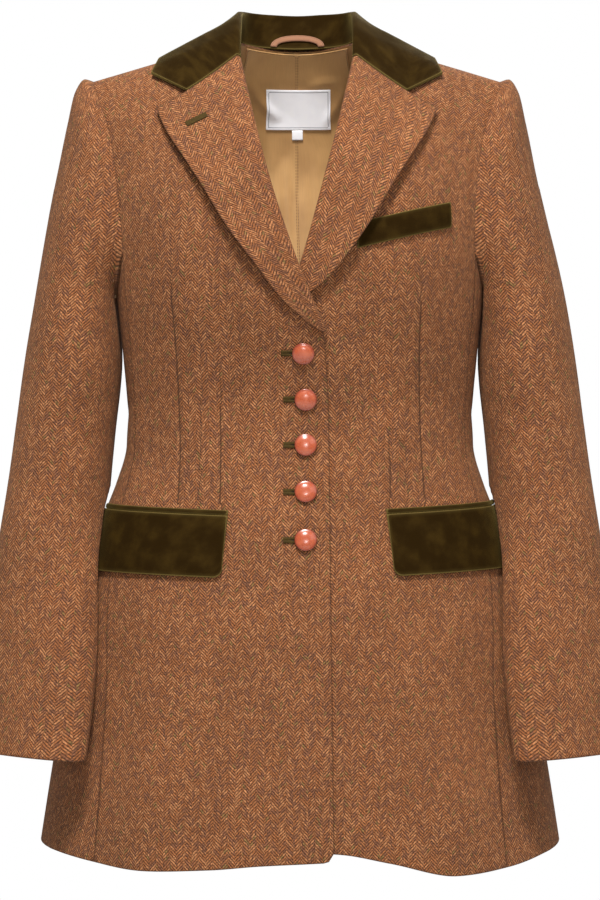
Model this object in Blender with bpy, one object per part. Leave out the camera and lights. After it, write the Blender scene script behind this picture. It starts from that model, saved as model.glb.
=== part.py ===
"""A single-breasted frock coat, filled out as if worn, with nobody in it.

Metres, +Z up. The front faces -Y, and the wearer's right is -X. The origin is the middle of the shoulder
line, where a wearer's neck and shoulders carry the coat. "Across" is the distance from the centre towards a
panel's own side.
"""

import math
from collections import namedtuple
from functools import partial

import bmesh
import bpy
from mathutils import Matrix, Vector
from mathutils.bvhtree import BVHTree

# Driving dimensions
HEM = -0.744
NECK_ACROSS, NECK_HEIGHT = 0.058, 0.019
NECK_BACK_HEIGHT = 0.0155
TIP_ACROSS, TIP_HEIGHT = 0.1935, -0.021
NAPE_RISE = 0.014
SHOULDER_ROUND = 0.165
JUNCTION_HEIGHT = -0.190
UNDERARM_HEIGHT = -0.2265
UNDERARM_ROUND = 2.4
NECK_SHIFT = -0.003
CLOTH = 0.0022
FACED = 0.0026
VELVET = 0.0028
JETTING = 0.0017
LINING = 0.0010
RIBBON = 0.0007
SEAM = 0.00035
LINING_GAP = 0.0018
WELT = 0.0024
TAPE = 0.0012
LAP = 0.0014
LAPEL_TUCK = 0.0050
FOLD_RADIUS = 0.0040
BUTTON_RADIUS, BUTTON_DEPTH = 0.0102, 0.0046
CUFF_BUTTON_RADIUS, CUFF_BUTTON_DEPTH = 0.0076, 0.0036
HOLE_WIDTH, HOLE_DEPTH = 0.0056, 0.0007
RIGHT, LEFT = -1, 1
SIDE_WORDS = {RIGHT: "right", LEFT: "left"}

# The body at each height: half its width, its depth in front and behind, and how square its section is
BodyRing = namedtuple("BodyRing", "height half_width front back squareness")
BODY = (
    BodyRing(-0.760, 0.2490, 0.1650, 0.1690, 2.10),
    BodyRing(-0.665, 0.2345, 0.1500, 0.1520, 2.10),
    BodyRing(-0.600, 0.2245, 0.1400, 0.1400, 2.10),
    BodyRing(-0.532, 0.2125, 0.1300, 0.1280, 2.15),
    BodyRing(-0.470, 0.1975, 0.1190, 0.1150, 2.20),
    BodyRing(-0.430, 0.1850, 0.1110, 0.1040, 2.20),
    BodyRing(-0.400, 0.1735, 0.1040, 0.0940, 2.20),
    BodyRing(-0.372, 0.1655, 0.0990, 0.0860, 2.20),
    BodyRing(-0.340, 0.1635, 0.0970, 0.0820, 2.25),
    BodyRing(-0.285, 0.1675, 0.1060, 0.0920, 2.30),
    BodyRing(-0.228, 0.1740, 0.1170, 0.1040, 2.40),
    BodyRing(-0.190, 0.1790, 0.1200, 0.1095, 2.40),
    BodyRing(-0.140, 0.1860, 0.1160, 0.1120, 2.40),
    BodyRing(-0.080, 0.1970, 0.1060, 0.1100, 2.40),
    BodyRing(-0.020, 0.2120, 0.0960, 0.1060, 2.35),
    BodyRing(0.040, 0.2250, 0.0880, 0.1040, 2.30),
)

# Across at each height: the armhole seam, seen from the front
Armhole = namedtuple("Armhole", "height across")
ARMHOLE = (
    Armhole(-0.2265, 0.1640),
    Armhole(-0.190, 0.1641),
    Armhole(-0.150, 0.1655),
    Armhole(-0.110, 0.1695),
    Armhole(-0.080, 0.1745),
    Armhole(-0.050, 0.1830),
    Armhole(-0.030, 0.1915),
    Armhole(-0.021, 0.1935),
)

# Degrees from the centre front to the seams of the side panel
SideSeam = namedtuple("SideSeam", "height front back")
SIDE_SEAMS = (
    SideSeam(-0.760, 48.5, 112.0),
    SideSeam(-0.600, 52.0, 113.0),
    SideSeam(-0.470, 61.0, 115.0),
    SideSeam(-0.340, 70.0, 117.0),
    SideSeam(-0.250, 68.0, 118.0),
    SideSeam(-0.190, 64.5, 116.0),
)

# The front's own edge: below the break it is the buttoned edge, past the centre, and above it the roll line
FrontEdge = namedtuple("FrontEdge", "height across")
FRONT_EDGE = (
    FrontEdge(-0.760, -0.0310),
    FrontEdge(-0.520, -0.0285),
    FrontEdge(-0.340, -0.0264),
    FrontEdge(-0.268, -0.0223),
    FrontEdge(-0.236, -0.0090),
    FrontEdge(-0.188, 0.0085),
    FrontEdge(-0.140, 0.0232),
    FrontEdge(-0.095, 0.0353),
    FrontEdge(-0.045, 0.0470),
    FrontEdge(0.000, 0.0561),
    FrontEdge(0.019, 0.0580),
)

# How far each front's hem lies above the plain hem, by degrees from the centre towards its own side
HemRise = namedtuple("HemRise", "degrees right left")
HEM_RISES = (
    HemRise(-12, 0.0035, 0.0120),
    HemRise(0, 0.0010, 0.0110),
    HemRise(8, -0.0010, 0.0090),
    HemRise(18, -0.0050, 0.0010),
    HemRise(34, -0.0075, -0.0120),
    HemRise(50, -0.0030, -0.0080),
    HemRise(68, 0.0020, 0.0000),
    HemRise(90, 0.0055, 0.0055),
    HemRise(180, 0.0055, 0.0055),
)
HEM_RISE_FROM = -0.560

# Standing folds: where each one lies round the body, how wide it is, how far it stands out, and its heights
Fold = namedtuple("Fold", "degrees spread out top foot")
FOLDS = (
    Fold(36.0, 13.0, 0.0080, -0.460, -0.744),
    Fold(33.0, 16.0, 0.0050, -0.330, -0.150),
    Fold(80.0, 13.0, 0.0045, -0.520, -0.744),
    Fold(128.0, 13.0, 0.0060, -0.480, -0.744),
    Fold(155.0, 11.0, 0.0070, -0.460, -0.744),
)

# The lapel from the break up to the gorge: its roll line, its outer edge and its height over the front
LapelRow = namedtuple("LapelRow", "along roll_height edge_across edge_height top edge_top")
LAPEL = (
    LapelRow(0.00, -0.2425, -0.0050, -0.2355, 0.0040, 0.0040),
    LapelRow(0.12, -0.2075, 0.0200, -0.2180, 0.0048, 0.0056),
    LapelRow(0.25, -0.1780, 0.0440, -0.1915, 0.0060, 0.0078),
    LapelRow(0.40, -0.1510, 0.0660, -0.1625, 0.0072, 0.0082),
    LapelRow(0.55, -0.1195, 0.0840, -0.1325, 0.0078, 0.0080),
    LapelRow(0.70, -0.0845, 0.1020, -0.1040, 0.0080, 0.0074),
    LapelRow(0.85, -0.0480, 0.1175, -0.0790, 0.0080, 0.0066),
    LapelRow(1.00, -0.0080, 0.1285, -0.0560, 0.0080, 0.0062),
)
NOTCH = 0.62
GORGE_SAG = 0.0034

# The collar from the centre back round to the gorge: foot, centre of the fold, leaf edge, and which way
# the fold's top faces
CollarRow = namedtuple("CollarRow", "along foot fold edge top")
COLLAR = (
    CollarRow(0.00, (0, 0.05, 0.0165), (0, 0.061, 0.046), (0, 0.08, -0.0095), (0, 0.15, 1)),
    CollarRow(0.20, (0.025, 0.0455, 0.017), (0.0265, 0.057, 0.0467), (0.04, 0.079, -0.0105), (0, 0.12, 1)),
    CollarRow(0.40, (0.045, 0.031, 0.018), (0.047, 0.043, 0.047), (0.083, 0.068, -0.014), (0.2, 0.1, 1)),
    CollarRow(0.55, (0.055, 0.01, 0.02), (0.0545, 0.022, 0.045), (0.116, 0.043, -0.0085), (0.35, 0, 1)),
    CollarRow(0.70, (0.0558, -0.011, 0.0192), (0.056, -0.004, 0.037), (0.129, 0.008, 0.0036), (0.4, -0.2, 1)),
    CollarRow(0.85, (0.056, -0.029, 0.0118), (0.056, -0.027, 0.023), (0.133, -0.025, -0.0062), (0.3, -0.5, 1)),
)
COLLAR_TIP_ACROSS, COLLAR_TIP_HEIGHT = 0.1345, -0.0215

# The sleeve, ring by ring: its outer and inner edges, its middle's place from front to back, how far the
# outer edge is turned back, and half its depth
SleeveRing = namedtuple("SleeveRing", "along outer outer_height inner inner_height middle turn half_depth")
SLEEVE = (
    SleeveRing(0.00, 0.1935, -0.0210, 0.1720, -0.2265, 0.0030, 0.0000, 0.0640),
    SleeveRing(0.05, 0.2020, -0.0185, 0.1720, -0.2270, 0.0030, 0.0000, 0.0650),
    SleeveRing(0.10, 0.2105, -0.0300, 0.1700, -0.2290, 0.0030, 0.0000, 0.0655),
    SleeveRing(0.16, 0.2175, -0.0600, 0.1690, -0.2320, 0.0030, 0.0000, 0.0660),
    SleeveRing(0.23, 0.2270, -0.1050, 0.1680, -0.2370, 0.0030, 0.0000, 0.0655),
    SleeveRing(0.31, 0.2395, -0.1630, 0.1670, -0.2460, 0.0030, 0.0000, 0.0645),
    SleeveRing(0.39, 0.2520, -0.2280, 0.1675, -0.2640, 0.0020, 0.0000, 0.0630),
    SleeveRing(0.47, 0.2620, -0.2900, 0.1700, -0.3050, 0.0000, 0.0000, 0.0595),
    SleeveRing(0.54, 0.2690, -0.3450, 0.1750, -0.3520, -0.0040, 0.0030, 0.0550),
    SleeveRing(0.61, 0.2755, -0.4000, 0.1795, -0.4060, -0.0130, 0.0070, 0.0500),
    SleeveRing(0.70, 0.2835, -0.4620, 0.1830, -0.4680, -0.0310, 0.0130, 0.0445),
    SleeveRing(0.80, 0.2925, -0.5300, 0.1875, -0.5370, -0.0530, 0.0200, 0.0385),
    SleeveRing(0.90, 0.3010, -0.5950, 0.1920, -0.6020, -0.0730, 0.0260, 0.0335),
    SleeveRing(1.00, 0.3085, -0.6470, 0.1975, -0.6545, -0.0890, 0.0300, 0.0300),
)
SLEEVE_CLEARANCE = 0.0024
FLAP_CLEARANCE = 0.0034
SLEEVE_BLEND = 0.30
SLEEVE_START = 0.0010
UNDERSEAM, HINDSEAM_TOP, HINDSEAM_CUFF = 186.0, -58.0, 10.0

FlapSize = namedtuple("FlapSize", "side front_across front_height outer_height length drop")
FLAPS = {
    "right": FlapSize(RIGHT, 0.0652, -0.4262, -0.4210, 0.148, 0.0615),
    "left": FlapSize(LEFT, 0.0782, -0.4248, -0.4175, 0.148, 0.0615),
}
FLAP_ROUND = 0.0075
FLAP_SPACING = 1.7  # columns lie closer together at the flap's rounded corner
JETTING_HEIGHT = 0.0048
FRONT_BUTTON_ACROSS = (0.0030, 0.0052, 0.0052, 0.0052, 0.0052)
FRONT_BUTTON_HEIGHTS = (-0.2818, -0.3240, -0.3660, -0.4090, -0.4530)
CUFF_BUTTON_ALONG = (0.896, 0.937, 0.975)
CUFF_BUTTON_DEGREES = 48.0


def track(rows, key, name):
    """A smooth line through one column of a table, against its key column, that never overshoots a row."""
    xs = [getattr(row, key) for row in rows]
    ys = [getattr(row, name) for row in rows]
    steps = [(b - a) / (q - p) for p, q, a, b in zip(xs, xs[1:], ys, ys[1:])]
    inner = [2 * a * b / (a + b) if a * b > 0 else 0.0 for a, b in zip(steps, steps[1:])]
    slopes = [steps[0], *inner, steps[-1]]

    def value(at):
        at = min(max(at, xs[0]), xs[-1])
        i = max(k for k in range(len(xs) - 1) if xs[k] <= at)
        width = xs[i + 1] - xs[i]
        t = (at - xs[i]) / width
        near = (1 + 2 * t) * (1 - t) ** 2 * ys[i] + t * t * (3 - 2 * t) * ys[i + 1]
        return near + width * t * (1 - t) * ((1 - t) * slopes[i] - t * slopes[i + 1])

    return value


def ease(low, high, at):
    """0 below low, 1 above high and smooth between them."""
    t = min(max((at - low) / (high - low), 0.0), 1.0)
    return t * t * (3 - 2 * t)


def mix(a, b, share):
    return a + (b - a) * share


half_width, front_depth = track(BODY, "height", "half_width"), track(BODY, "height", "front")
back_depth, squareness = track(BODY, "height", "back"), track(BODY, "height", "squareness")
armhole_across = track(ARMHOLE, "height", "across")
front_seam, back_seam = track(SIDE_SEAMS, "height", "front"), track(SIDE_SEAMS, "height", "back")
front_edge = track(FRONT_EDGE, "height", "across")
hem_rise = {side: track(HEM_RISES, "degrees", word) for side, word in SIDE_WORDS.items()}


# ---------------------------------------------------------------- the form that the body's pieces lie on
def centre(height):
    """The neck and shoulders sit a little to the wearer's right of the skirt."""
    return NECK_SHIFT * ease(-0.240, -0.110, height)


def ridge(across, front):
    """Height of the shoulder line, rounded over inside the neck and higher there behind."""
    slope = (NECK_HEIGHT - TIP_HEIGHT) / (TIP_ACROSS - NECK_ACROSS)
    if abs(across) < NECK_ACROSS:
        inside = 1 - (across / NECK_ACROSS) ** 2
        return NECK_HEIGHT + slope * NECK_ACROSS / 2 * inside + (0.0 if front else NAPE_RISE * inside**2)
    return NECK_HEIGHT - slope * (abs(across) - NECK_ACROSS)


def fold_out(degrees, height):
    """How far the standing folds push the cloth out at one place."""
    out = 0.0
    for fold in FOLDS:
        share = math.exp(-(((abs(degrees) - fold.degrees) / fold.spread) ** 2))
        out += fold.out * share * ease(fold.top, fold.foot, height)
    return out


def across_of(degrees, height):
    return half_width(height) * abs(math.sin(math.radians(degrees))) ** (2 / squareness(height))


def degrees_of(across, height):
    share = min(abs(across) / half_width(height), 1.0)
    return math.degrees(math.asin(share ** (squareness(height) / 2)))


def body_point(side, across, height, front, out=0.0):
    """A point on the outside of the front or the back, given how far across and how high it is."""
    drop = min(max(1 - (ridge(across, front) - height) / SHOULDER_ROUND, 0.0), 1.0)
    square = squareness(height)
    share = min(abs(across) / half_width(height), 1.0)
    share = (1 - share**square) ** (1 / square) * math.sqrt(1 - drop * drop)
    degrees = degrees_of(across, height)
    degrees = degrees if front else 180 - degrees
    depth = (front_depth if front else back_depth)(height)
    depth = (depth + fold_out(degrees, height) + out) * share + 0.0002
    return Vector((centre(height) + side * across, -depth if front else depth, height))


def side_point(side, degrees, height):
    """A point on the outside of the side panel, given its degrees from the centre front."""
    square = squareness(height)
    turn = math.radians(degrees)
    depth = (front_depth if degrees < 90 else back_depth)(height) + fold_out(degrees, height)
    across = half_width(height) * math.sin(turn) ** (2 / square)
    back = -math.copysign(abs(math.cos(turn)) ** (2 / square), math.cos(turn)) * (depth + 0.0002)
    return Vector((centre(height) + side * across, back, height))


def lapped(side, across, height):
    """A front stands out where it laps over the other one, and over the other one's lapel."""
    near = 1 - ease(0.035, 0.085, abs(across))
    if side == LEFT:
        return -LAP * near
    over_lapel = LAPEL_TUCK * ease(-0.300, -0.245, height) * (1 - ease(-0.190, -0.140, height))
    return (LAP + over_lapel) * near


def front_point(side, across, height):
    return body_point(side, across, height, True, lapped(side, across, height))


def normal_at(surface, a, b, step=0.0006):
    """Which way a surface faces, from points a short way either side."""
    along = surface(a + step, b) - surface(a - step, b)
    up = surface(a, b + step) - surface(a, b - step)
    return along.cross(up).normalized()


def over_front(side, across, height, out):
    """A point moved out from a front, along the way the front faces."""
    facing = normal_at(lambda a, h: front_point(side, a, h), across, height) * side
    return front_point(side, across, height) + facing * out


def trim_point(piece, side, across, height, out):
    """A point above a finished front."""
    facing = normal_at(lambda a, h: front_point(side, a, h), across, height) * side
    return laid([faces_of[piece]], front_point(side, across, height), facing, out)


def armhole_point(side, turn):
    """The armhole seam: 0 at the shoulder tip, 90 in front, 180 under the arm and 270 behind."""
    angle = math.radians(turn)
    height = mix(UNDERARM_HEIGHT, TIP_HEIGHT, (1 + math.cos(angle)) / 2)
    front = math.sin(angle) >= 0
    if height >= JUNCTION_HEIGHT:
        return body_point(side, armhole_across(height), height, front)
    share = max((height - UNDERARM_HEIGHT) / (JUNCTION_HEIGHT - UNDERARM_HEIGHT), 0.0) ** (1 / UNDERARM_ROUND)
    seams = front_seam(JUNCTION_HEIGHT), back_seam(JUNCTION_HEIGHT)
    return side_point(side, mix(*seams, (1 - share if front else 1 + share) / 2), height)


# ---------------------------------------------------------------- making solids
faces_of = {}


def new_material(name, colour, roughness):
    material = bpy.data.materials.new(name)
    material.use_nodes = True
    shader = material.node_tree.nodes["Principled BSDF"]
    shader.inputs["Base Color"].default_value = (*colour, 1.0)
    shader.inputs["Roughness"].default_value = roughness
    material.diffuse_color = (*colour, 1.0)
    return material


def laid(on, point, facing, out):
    """A point above the outermost face of some finished pieces, straight out from a point of the form."""
    hits = [on_piece.ray_cast(point + facing * 0.012, -facing, 0.030)[0] for on_piece in on]
    found = [hit for hit in hits if hit]
    return max(found, key=lambda hit: hit.dot(facing), default=point) + facing * out


def add(name, mesh, material, collection):
    """Puts a finished bmesh in the scene as a named piece, and keeps its faces for others to lie on."""
    faces_of[name] = BVHTree.FromBMesh(mesh)
    data = bpy.data.meshes.new(name)
    mesh.to_mesh(data)
    mesh.free()
    data.shade_smooth()
    data.set_sharp_from_angle(angle=math.radians(40))
    piece = bpy.data.objects.new(name, data)
    data.materials.append(material)
    collection.objects.link(piece)
    return piece


def cloth(columns, rows, place, thickness):
    """A sheet of cloth: a grid whose outer face lies on place(u, v), with a wall behind it."""
    mesh = bmesh.new()
    bmesh.ops.create_grid(mesh, x_segments=columns, y_segments=rows, size=0.5)
    outer = mesh.verts[:]
    made = bmesh.ops.extrude_face_region(mesh, geom=mesh.faces[:], use_keep_orig=True)["geom"]
    inner = [vert for vert in made if isinstance(vert, bmesh.types.BMVert)]
    step = 0.002

    def lay(vert, depth):
        u, v = vert.co.x + 0.5, vert.co.y + 0.5
        along = place(min(u + step, 1), v) - place(max(u - step, 0), v)
        up = place(u, min(v + step, 1)) - place(u, max(v - step, 0))
        vert.co = place(u, v) - along.cross(up).normalized() * depth

    for vert in outer:
        lay(vert, 0.0)
    for vert in inner:
        lay(vert, thickness)
    bmesh.ops.recalc_face_normals(mesh, faces=mesh.faces[:])
    if mesh.calc_volume(signed=True) < 0:
        bmesh.ops.reverse_faces(mesh, faces=mesh.faces[:])
    bmesh.ops.triangulate(mesh, faces=mesh.faces[:], quad_method="BEAUTY")
    return mesh


def facing_out(side, place):
    """The same sheet with u counted the other way on the wearer's right, so that it always faces out."""
    return place if side == LEFT else lambda u, v: place(1 - u, v)


# ---------------------------------------------------------------- body panels
LOW_ROWS, HIGH_ROWS = 14, 9
PANEL_SPACING = 1.35  # columns lie closer together towards the side seam
SIDE_INSETS = 2.2, 2.4  # gaps at the side panel's front and back seams, as shares of SEAM


def row_share(v):
    """Splits a panel's rows at the junction of armhole and side seam: (0 to 1 below it, 0 to 1 above it)."""
    row = v * (LOW_ROWS + HIGH_ROWS)
    low, high = min(row / LOW_ROWS, 1.0), max((row - LOW_ROWS) / HIGH_ROWS, 0.0)
    return low, 1 - (1 - high) ** 2


def hem_lifted(side, across, degrees, height):
    """Across and height once the hem's rise is added, at the same angle round the body."""
    lifted = height + hem_rise[side](degrees) * (1 - ease(HEM, HEM_RISE_FROM, height))
    return across * half_width(lifted) / half_width(height), lifted


def outer_edge(v, front):
    """Across and height of a panel's outer edge: the side seam, then the armhole."""
    low, high = row_share(v)
    if high > 0:
        height = mix(JUNCTION_HEIGHT, TIP_HEIGHT, high)
        return armhole_across(height), height
    height = mix(HEM, JUNCTION_HEIGHT, low)
    return across_of((front_seam if front else back_seam)(height), height), height


def front_panel(side):
    """From the front edge to the side seam, and from the hem to the shoulder."""

    def place(u, v):
        low, high = row_share(v)
        across_out, height_out = outer_edge(v, True)
        height_in = mix(mix(HEM, JUNCTION_HEIGHT, low), NECK_HEIGHT, high)
        share = 1 - (1 - u) ** PANEL_SPACING
        across = mix(front_edge(height_in), across_out, share)
        height = mix(height_in, height_out, share)
        degrees = math.copysign(degrees_of(across, height), across)
        return front_point(side, *hem_lifted(side, across, degrees, height))

    return cloth(11, LOW_ROWS + HIGH_ROWS, facing_out(side, place), CLOTH)


def back_top(across):
    if across < NECK_ACROSS:
        return mix(NECK_BACK_HEIGHT, NECK_HEIGHT, (across / NECK_ACROSS) ** 2)
    return ridge(across, False)


def back_panel(side):
    """From the centre back seam to the side seam, and from the hem to the neck and shoulder."""

    def place(u, v):
        low, high = row_share(v)
        across_out, height_out = outer_edge(v, False)
        across = mix(SEAM / 2, across_out, 1 - (1 - u) ** PANEL_SPACING)
        height = mix(height_out, mix(JUNCTION_HEIGHT, back_top(across), high), 1.0 if high > 0 else 0.0)
        return body_point(side, *hem_lifted(side, across, 180, height), False)

    return cloth(8, LOW_ROWS + HIGH_ROWS, facing_out(-side, place), CLOTH)


def side_panel(side):
    """Between the two side seams, from the hem to the bottom of the armhole."""

    def place(u, v):
        level = mix(HEM, JUNCTION_HEIGHT, v)
        inset = math.degrees(SEAM / half_width(level))
        degrees = mix(front_seam(level) + inset * SIDE_INSETS[0], back_seam(level) - inset * SIDE_INSETS[1], u)
        dip = (1 - abs(2 * u - 1) ** UNDERARM_ROUND) * (JUNCTION_HEIGHT - UNDERARM_HEIGHT)
        height = level - dip * v**6
        return side_point(side, degrees, hem_lifted(side, 0, degrees, height)[1])

    return cloth(6, LOW_ROWS, facing_out(side, place), CLOTH)


def lining(side):
    """The lining that shows behind the neck opening, just inside the back."""
    low, high = -0.265, -0.0030

    def place(u, v):
        level = mix(low, high, v)
        across = mix(SEAM / 2, mix(0.088, 0.050, ease(-0.10, high, level)), u)
        height = mix(low, back_top(across) + high, v)
        facing = normal_at(lambda a, h: body_point(side, a, h, False), across, height) * -side
        return body_point(side, across, height, False) - facing * (CLOTH + LINING_GAP)

    return cloth(6, 8, facing_out(-side, place), LINING)


# ---------------------------------------------------------------- sleeves
sleeve_track = {name: track(SLEEVE, "along", name) for name in SleeveRing._fields[1:]}


def clear_of_body(side, point):
    """Moves a point of the sleeve out from the body's side, seen from above."""
    height = min(max(point.z, BODY[0].height), JUNCTION_HEIGHT)
    across = (point.x - centre(height)) * side
    depth = (front_depth if point.y < 0 else back_depth)(height)
    beside_flap = ease(-0.520, -0.485, height) * (1 - ease(-0.425, -0.390, height))
    clear = SLEEVE_CLEARANCE + FLAP_CLEARANCE * beside_flap
    depth += fold_out(degrees_of(across, height), height) + clear
    square = squareness(height)
    width = half_width(height) + clear
    reach = (abs(across / width) ** square + abs(point.y / depth) ** square) ** (1 / square)
    if reach < 1 and point.z < JUNCTION_HEIGHT:
        across, back = across / reach, point.y / reach
        return Vector((centre(height) + side * across, back, point.z))
    return point


def sleeve_ring(side, along, turn):
    get = {name: value(along) for name, value in sleeve_track.items()}
    shift = centre(get["outer_height"])
    outer = Vector((shift + side * get["outer"], get["middle"] + get["turn"], get["outer_height"]))
    inner = Vector((shift + side * get["inner"], get["middle"] - get["turn"], get["inner_height"]))
    across = (outer - inner) / 2
    forward = Vector((0, -1, 0))
    forward = (forward - across * forward.dot(across) / across.length_squared).normalized()
    angle = math.radians(turn)
    return (outer + inner) / 2 + across * math.cos(angle) + forward * math.sin(angle) * get["half_depth"]


def sleeve_point(side, along, turn):
    """The sleeve's outside: it starts on the armhole seam and turns into plain rings below the cap."""
    fade = max(1 - along / SLEEVE_BLEND, 0.0) ** 2
    seam = armhole_point(side, turn % 360) - sleeve_ring(side, 0.0, turn)
    start = Vector((side * SLEEVE_START, 0, 0))
    return clear_of_body(side, sleeve_ring(side, along, turn) + (seam + start) * fade)


def hind_seam(along):
    return mix(HINDSEAM_TOP, HINDSEAM_CUFF, along**1.5)


def sleeve_along(v):
    """Rings lie closer together round the cap."""
    return v**1.25


def sleeve_half(side, upper):
    inset = 0.55

    def place(u, v):
        along = sleeve_along(v)
        hind = hind_seam(along)
        first, last = (hind, UNDERSEAM) if upper else (UNDERSEAM, hind + 360)
        return sleeve_point(side, along, mix(first + inset, last - inset, 1 - u))

    flipped = facing_out(side, place)
    return cloth(11 if upper else 7, 17, lambda u, v: flipped(u, 1 - v), CLOTH)


# ---------------------------------------------------------------- lapels and collar
lapel_track = {name: track(LAPEL, "along", name) for name in LapelRow._fields[1:]}
LAPEL_LEG = 3 * SEAM + FACED
LEG_STEPS, BEND_STEPS, LEAF_STEPS = 2, 4, 6
FOLD_STEPS = LEG_STEPS + BEND_STEPS + LEAF_STEPS


def hook(share, top, edge_top, width):
    """Across and up of a folded edge: a leg beside the front's edge, a round bend, then a leaf over it."""
    step = share * FOLD_STEPS
    radius = min(FOLD_RADIUS, top)
    if step <= LEG_STEPS:
        return -LAPEL_LEG, mix(-CLOTH, top - radius, step / LEG_STEPS)
    if step <= LEG_STEPS + BEND_STEPS:
        angle = math.pi / 2 * (step - LEG_STEPS) / BEND_STEPS
        return -LAPEL_LEG + radius * (1 - math.cos(angle)), top - radius * (1 - math.sin(angle))
    out = (step - LEG_STEPS - BEND_STEPS) / LEAF_STEPS
    return mix(-LAPEL_LEG + radius, width, out), mix(top, edge_top, ease(0.3, 1, out))


def lapel_point(side, share, along):
    get = {name: value(along) for name, value in lapel_track.items()}
    roll = Vector((front_edge(get["roll_height"]), get["roll_height"]))
    edge = Vector((get["edge_across"], get["edge_height"]))
    way, width = (edge - roll).normalized(), (edge - roll).length
    across, up = hook(share, get["top"], get["edge_top"], width)
    rise = front_edge(get["roll_height"] + 0.003) - front_edge(get["roll_height"] - 0.003)
    lean = Vector((rise, 0.006)).normalized()
    sag = GORGE_SAG * along**8 * max(math.sin(math.pi * across / width), 0.0)
    spot = roll + way * max(across, 0.0) - Vector((0, sag))
    spot += Vector((lean.y, -lean.x)) * min(across, 0.0)
    return over_front(side, spot.x, spot.y, up)


def lapel(side):
    def place(u, v):
        return lapel_point(side, u, v) - Vector((0, 0, SEAM * v**8))

    return cloth(FOLD_STEPS, 10, facing_out(side, place), FACED)


def collar_gorge(side, share):
    """The collar's front end: it follows the lapel's top to the notch, then its own edge to the tip."""
    step = share * FOLD_STEPS
    leaf = (step - LEG_STEPS - BEND_STEPS) / LEAF_STEPS
    corner = 4 / LEAF_STEPS
    on_lapel = min(max(leaf, 0) / corner, 1) * NOTCH
    first = LEG_STEPS + BEND_STEPS
    point = lapel_point(side, share if leaf <= 0 else (first + on_lapel * LEAF_STEPS) / FOLD_STEPS, 1.0)
    if leaf > corner:
        tip = over_front(side, COLLAR_TIP_ACROSS, COLLAR_TIP_HEIGHT, 0.0062)
        point = point.lerp(tip, (leaf - corner) / (1 - corner))
    return point + Vector((0, 0, 3 * SEAM))


def collar_section(side, row, share):
    """One section of the collar: its foot, up to the fold, over it and down its leaf."""
    shift = Vector((centre(0), 0, 0))
    spots = (row.foot, row.fold, row.edge, row.top)
    foot, fold, edge, top = (Vector((spot[0] * side, spot[1], spot[2])) for spot in spots)
    foot, fold, edge = foot + shift, fold + shift, edge + shift
    rise, fall = (fold - foot).normalized(), (edge - fold).normalized()
    top.normalize()
    leaf_up = (top - fall * top.dot(fall)).normalized()
    hinge = rise.cross(fall).normalized()
    neck_way = rise.cross(hinge).normalized()
    neck_way = neck_way if neck_way.dot(leaf_up) > -0.99 and neck_way.dot(fall) < 0 else -neck_way
    step = share * FOLD_STEPS
    if step <= LEG_STEPS:
        return foot.lerp(fold + neck_way * FOLD_RADIUS, step / LEG_STEPS)
    if step <= LEG_STEPS + BEND_STEPS:
        turn = neck_way.slerp(leaf_up, (step - LEG_STEPS) / BEND_STEPS)
        return fold + turn * FOLD_RADIUS
    return (fold + leaf_up * FOLD_RADIUS).lerp(edge, (step - LEG_STEPS - BEND_STEPS) / LEAF_STEPS)


Spot = namedtuple("Spot", "along x y z")


def collar_lines():
    """A smooth line round the neck for each step of the collar's section, from gorge to gorge."""
    lines = []
    for step in range(FOLD_STEPS + 1):
        share = step / FOLD_STEPS
        spots = [Spot(-1.0, *collar_gorge(RIGHT, share)), Spot(1.0, *collar_gorge(LEFT, share))]
        for row in COLLAR:
            for side in (RIGHT, LEFT) if row.along else (LEFT,):
                spots.append(Spot(side * row.along, *collar_section(side, row, share)))
        spots.sort()
        lines.append([track(spots, "along", axis) for axis in "xyz"])
    return lines


def collar():
    lines = collar_lines()

    def place(u, v):
        step = u * FOLD_STEPS
        low = min(int(step), FOLD_STEPS - 1)
        near, far = (Vector([line(2 * v - 1) for line in lines[low + k]]) for k in (0, 1))
        return near.lerp(far, step - low)

    return cloth(FOLD_STEPS, 24, lambda u, v: place(u, 1 - v), VELVET)


# ---------------------------------------------------------------- pockets
def over_body(side, degrees, height, out):
    """A point above the body's finished panels."""
    facing = normal_at(lambda a, h: side_point(side, a * 100, h), degrees / 100, height) * side
    panels = [faces_of[f"{SIDE_WORDS[side]}_{panel}"] for panel in ("front", "side", "back")]
    return laid(panels, side_point(side, degrees, height), facing, out)


def degrees_after(side, degrees, height, distance):
    """The angle reached by walking that far round the body."""
    while distance > 0:
        step = (side_point(side, degrees + 1, height) - side_point(side, degrees, height)).length
        degrees, distance = degrees + min(distance / step, 1), distance - step
    return degrees


def flap_spot(size, along, down, out):
    """A point above the body that far back from a flap's front end, and that far down."""
    height = mix(size.front_height, size.outer_height, along / size.length)
    start = degrees_of(size.front_across, size.front_height)
    return over_body(size.side, degrees_after(size.side, start, height, along), height - down, out)


def flap(size):
    def place(u, v):
        along = u**FLAP_SPACING * size.length
        corner = max(FLAP_ROUND - along, 0.0)
        bottom = size.drop - FLAP_ROUND + math.sqrt(FLAP_ROUND**2 - corner**2)
        return flap_spot(size, along, mix(JETTING_HEIGHT + SEAM, bottom, 1 - v), FACED + 3 * SEAM)

    return cloth(14, 5, facing_out(size.side, place), FACED)


def jetting(size):
    def place(u, v):
        return flap_spot(size, u * size.length, JETTING_HEIGHT * (1 - v), JETTING + 2 * SEAM)

    return cloth(12, 1, facing_out(size.side, place), JETTING)


WELT_ENDS = (Vector((0.0535, -0.1865)), Vector((0.1400, -0.1655)))
WELT_HEIGHT = 0.0235


def welt():
    """The breast pocket's welt, a slanting strip on the wearer's left front."""

    def place(u, v):
        low = WELT_ENDS[0].lerp(WELT_ENDS[1], u)
        return trim_point("left_front", LEFT, low.x, low.y + WELT_HEIGHT * v, WELT + 2 * SEAM)

    return cloth(8, 3, place, WELT)


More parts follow.
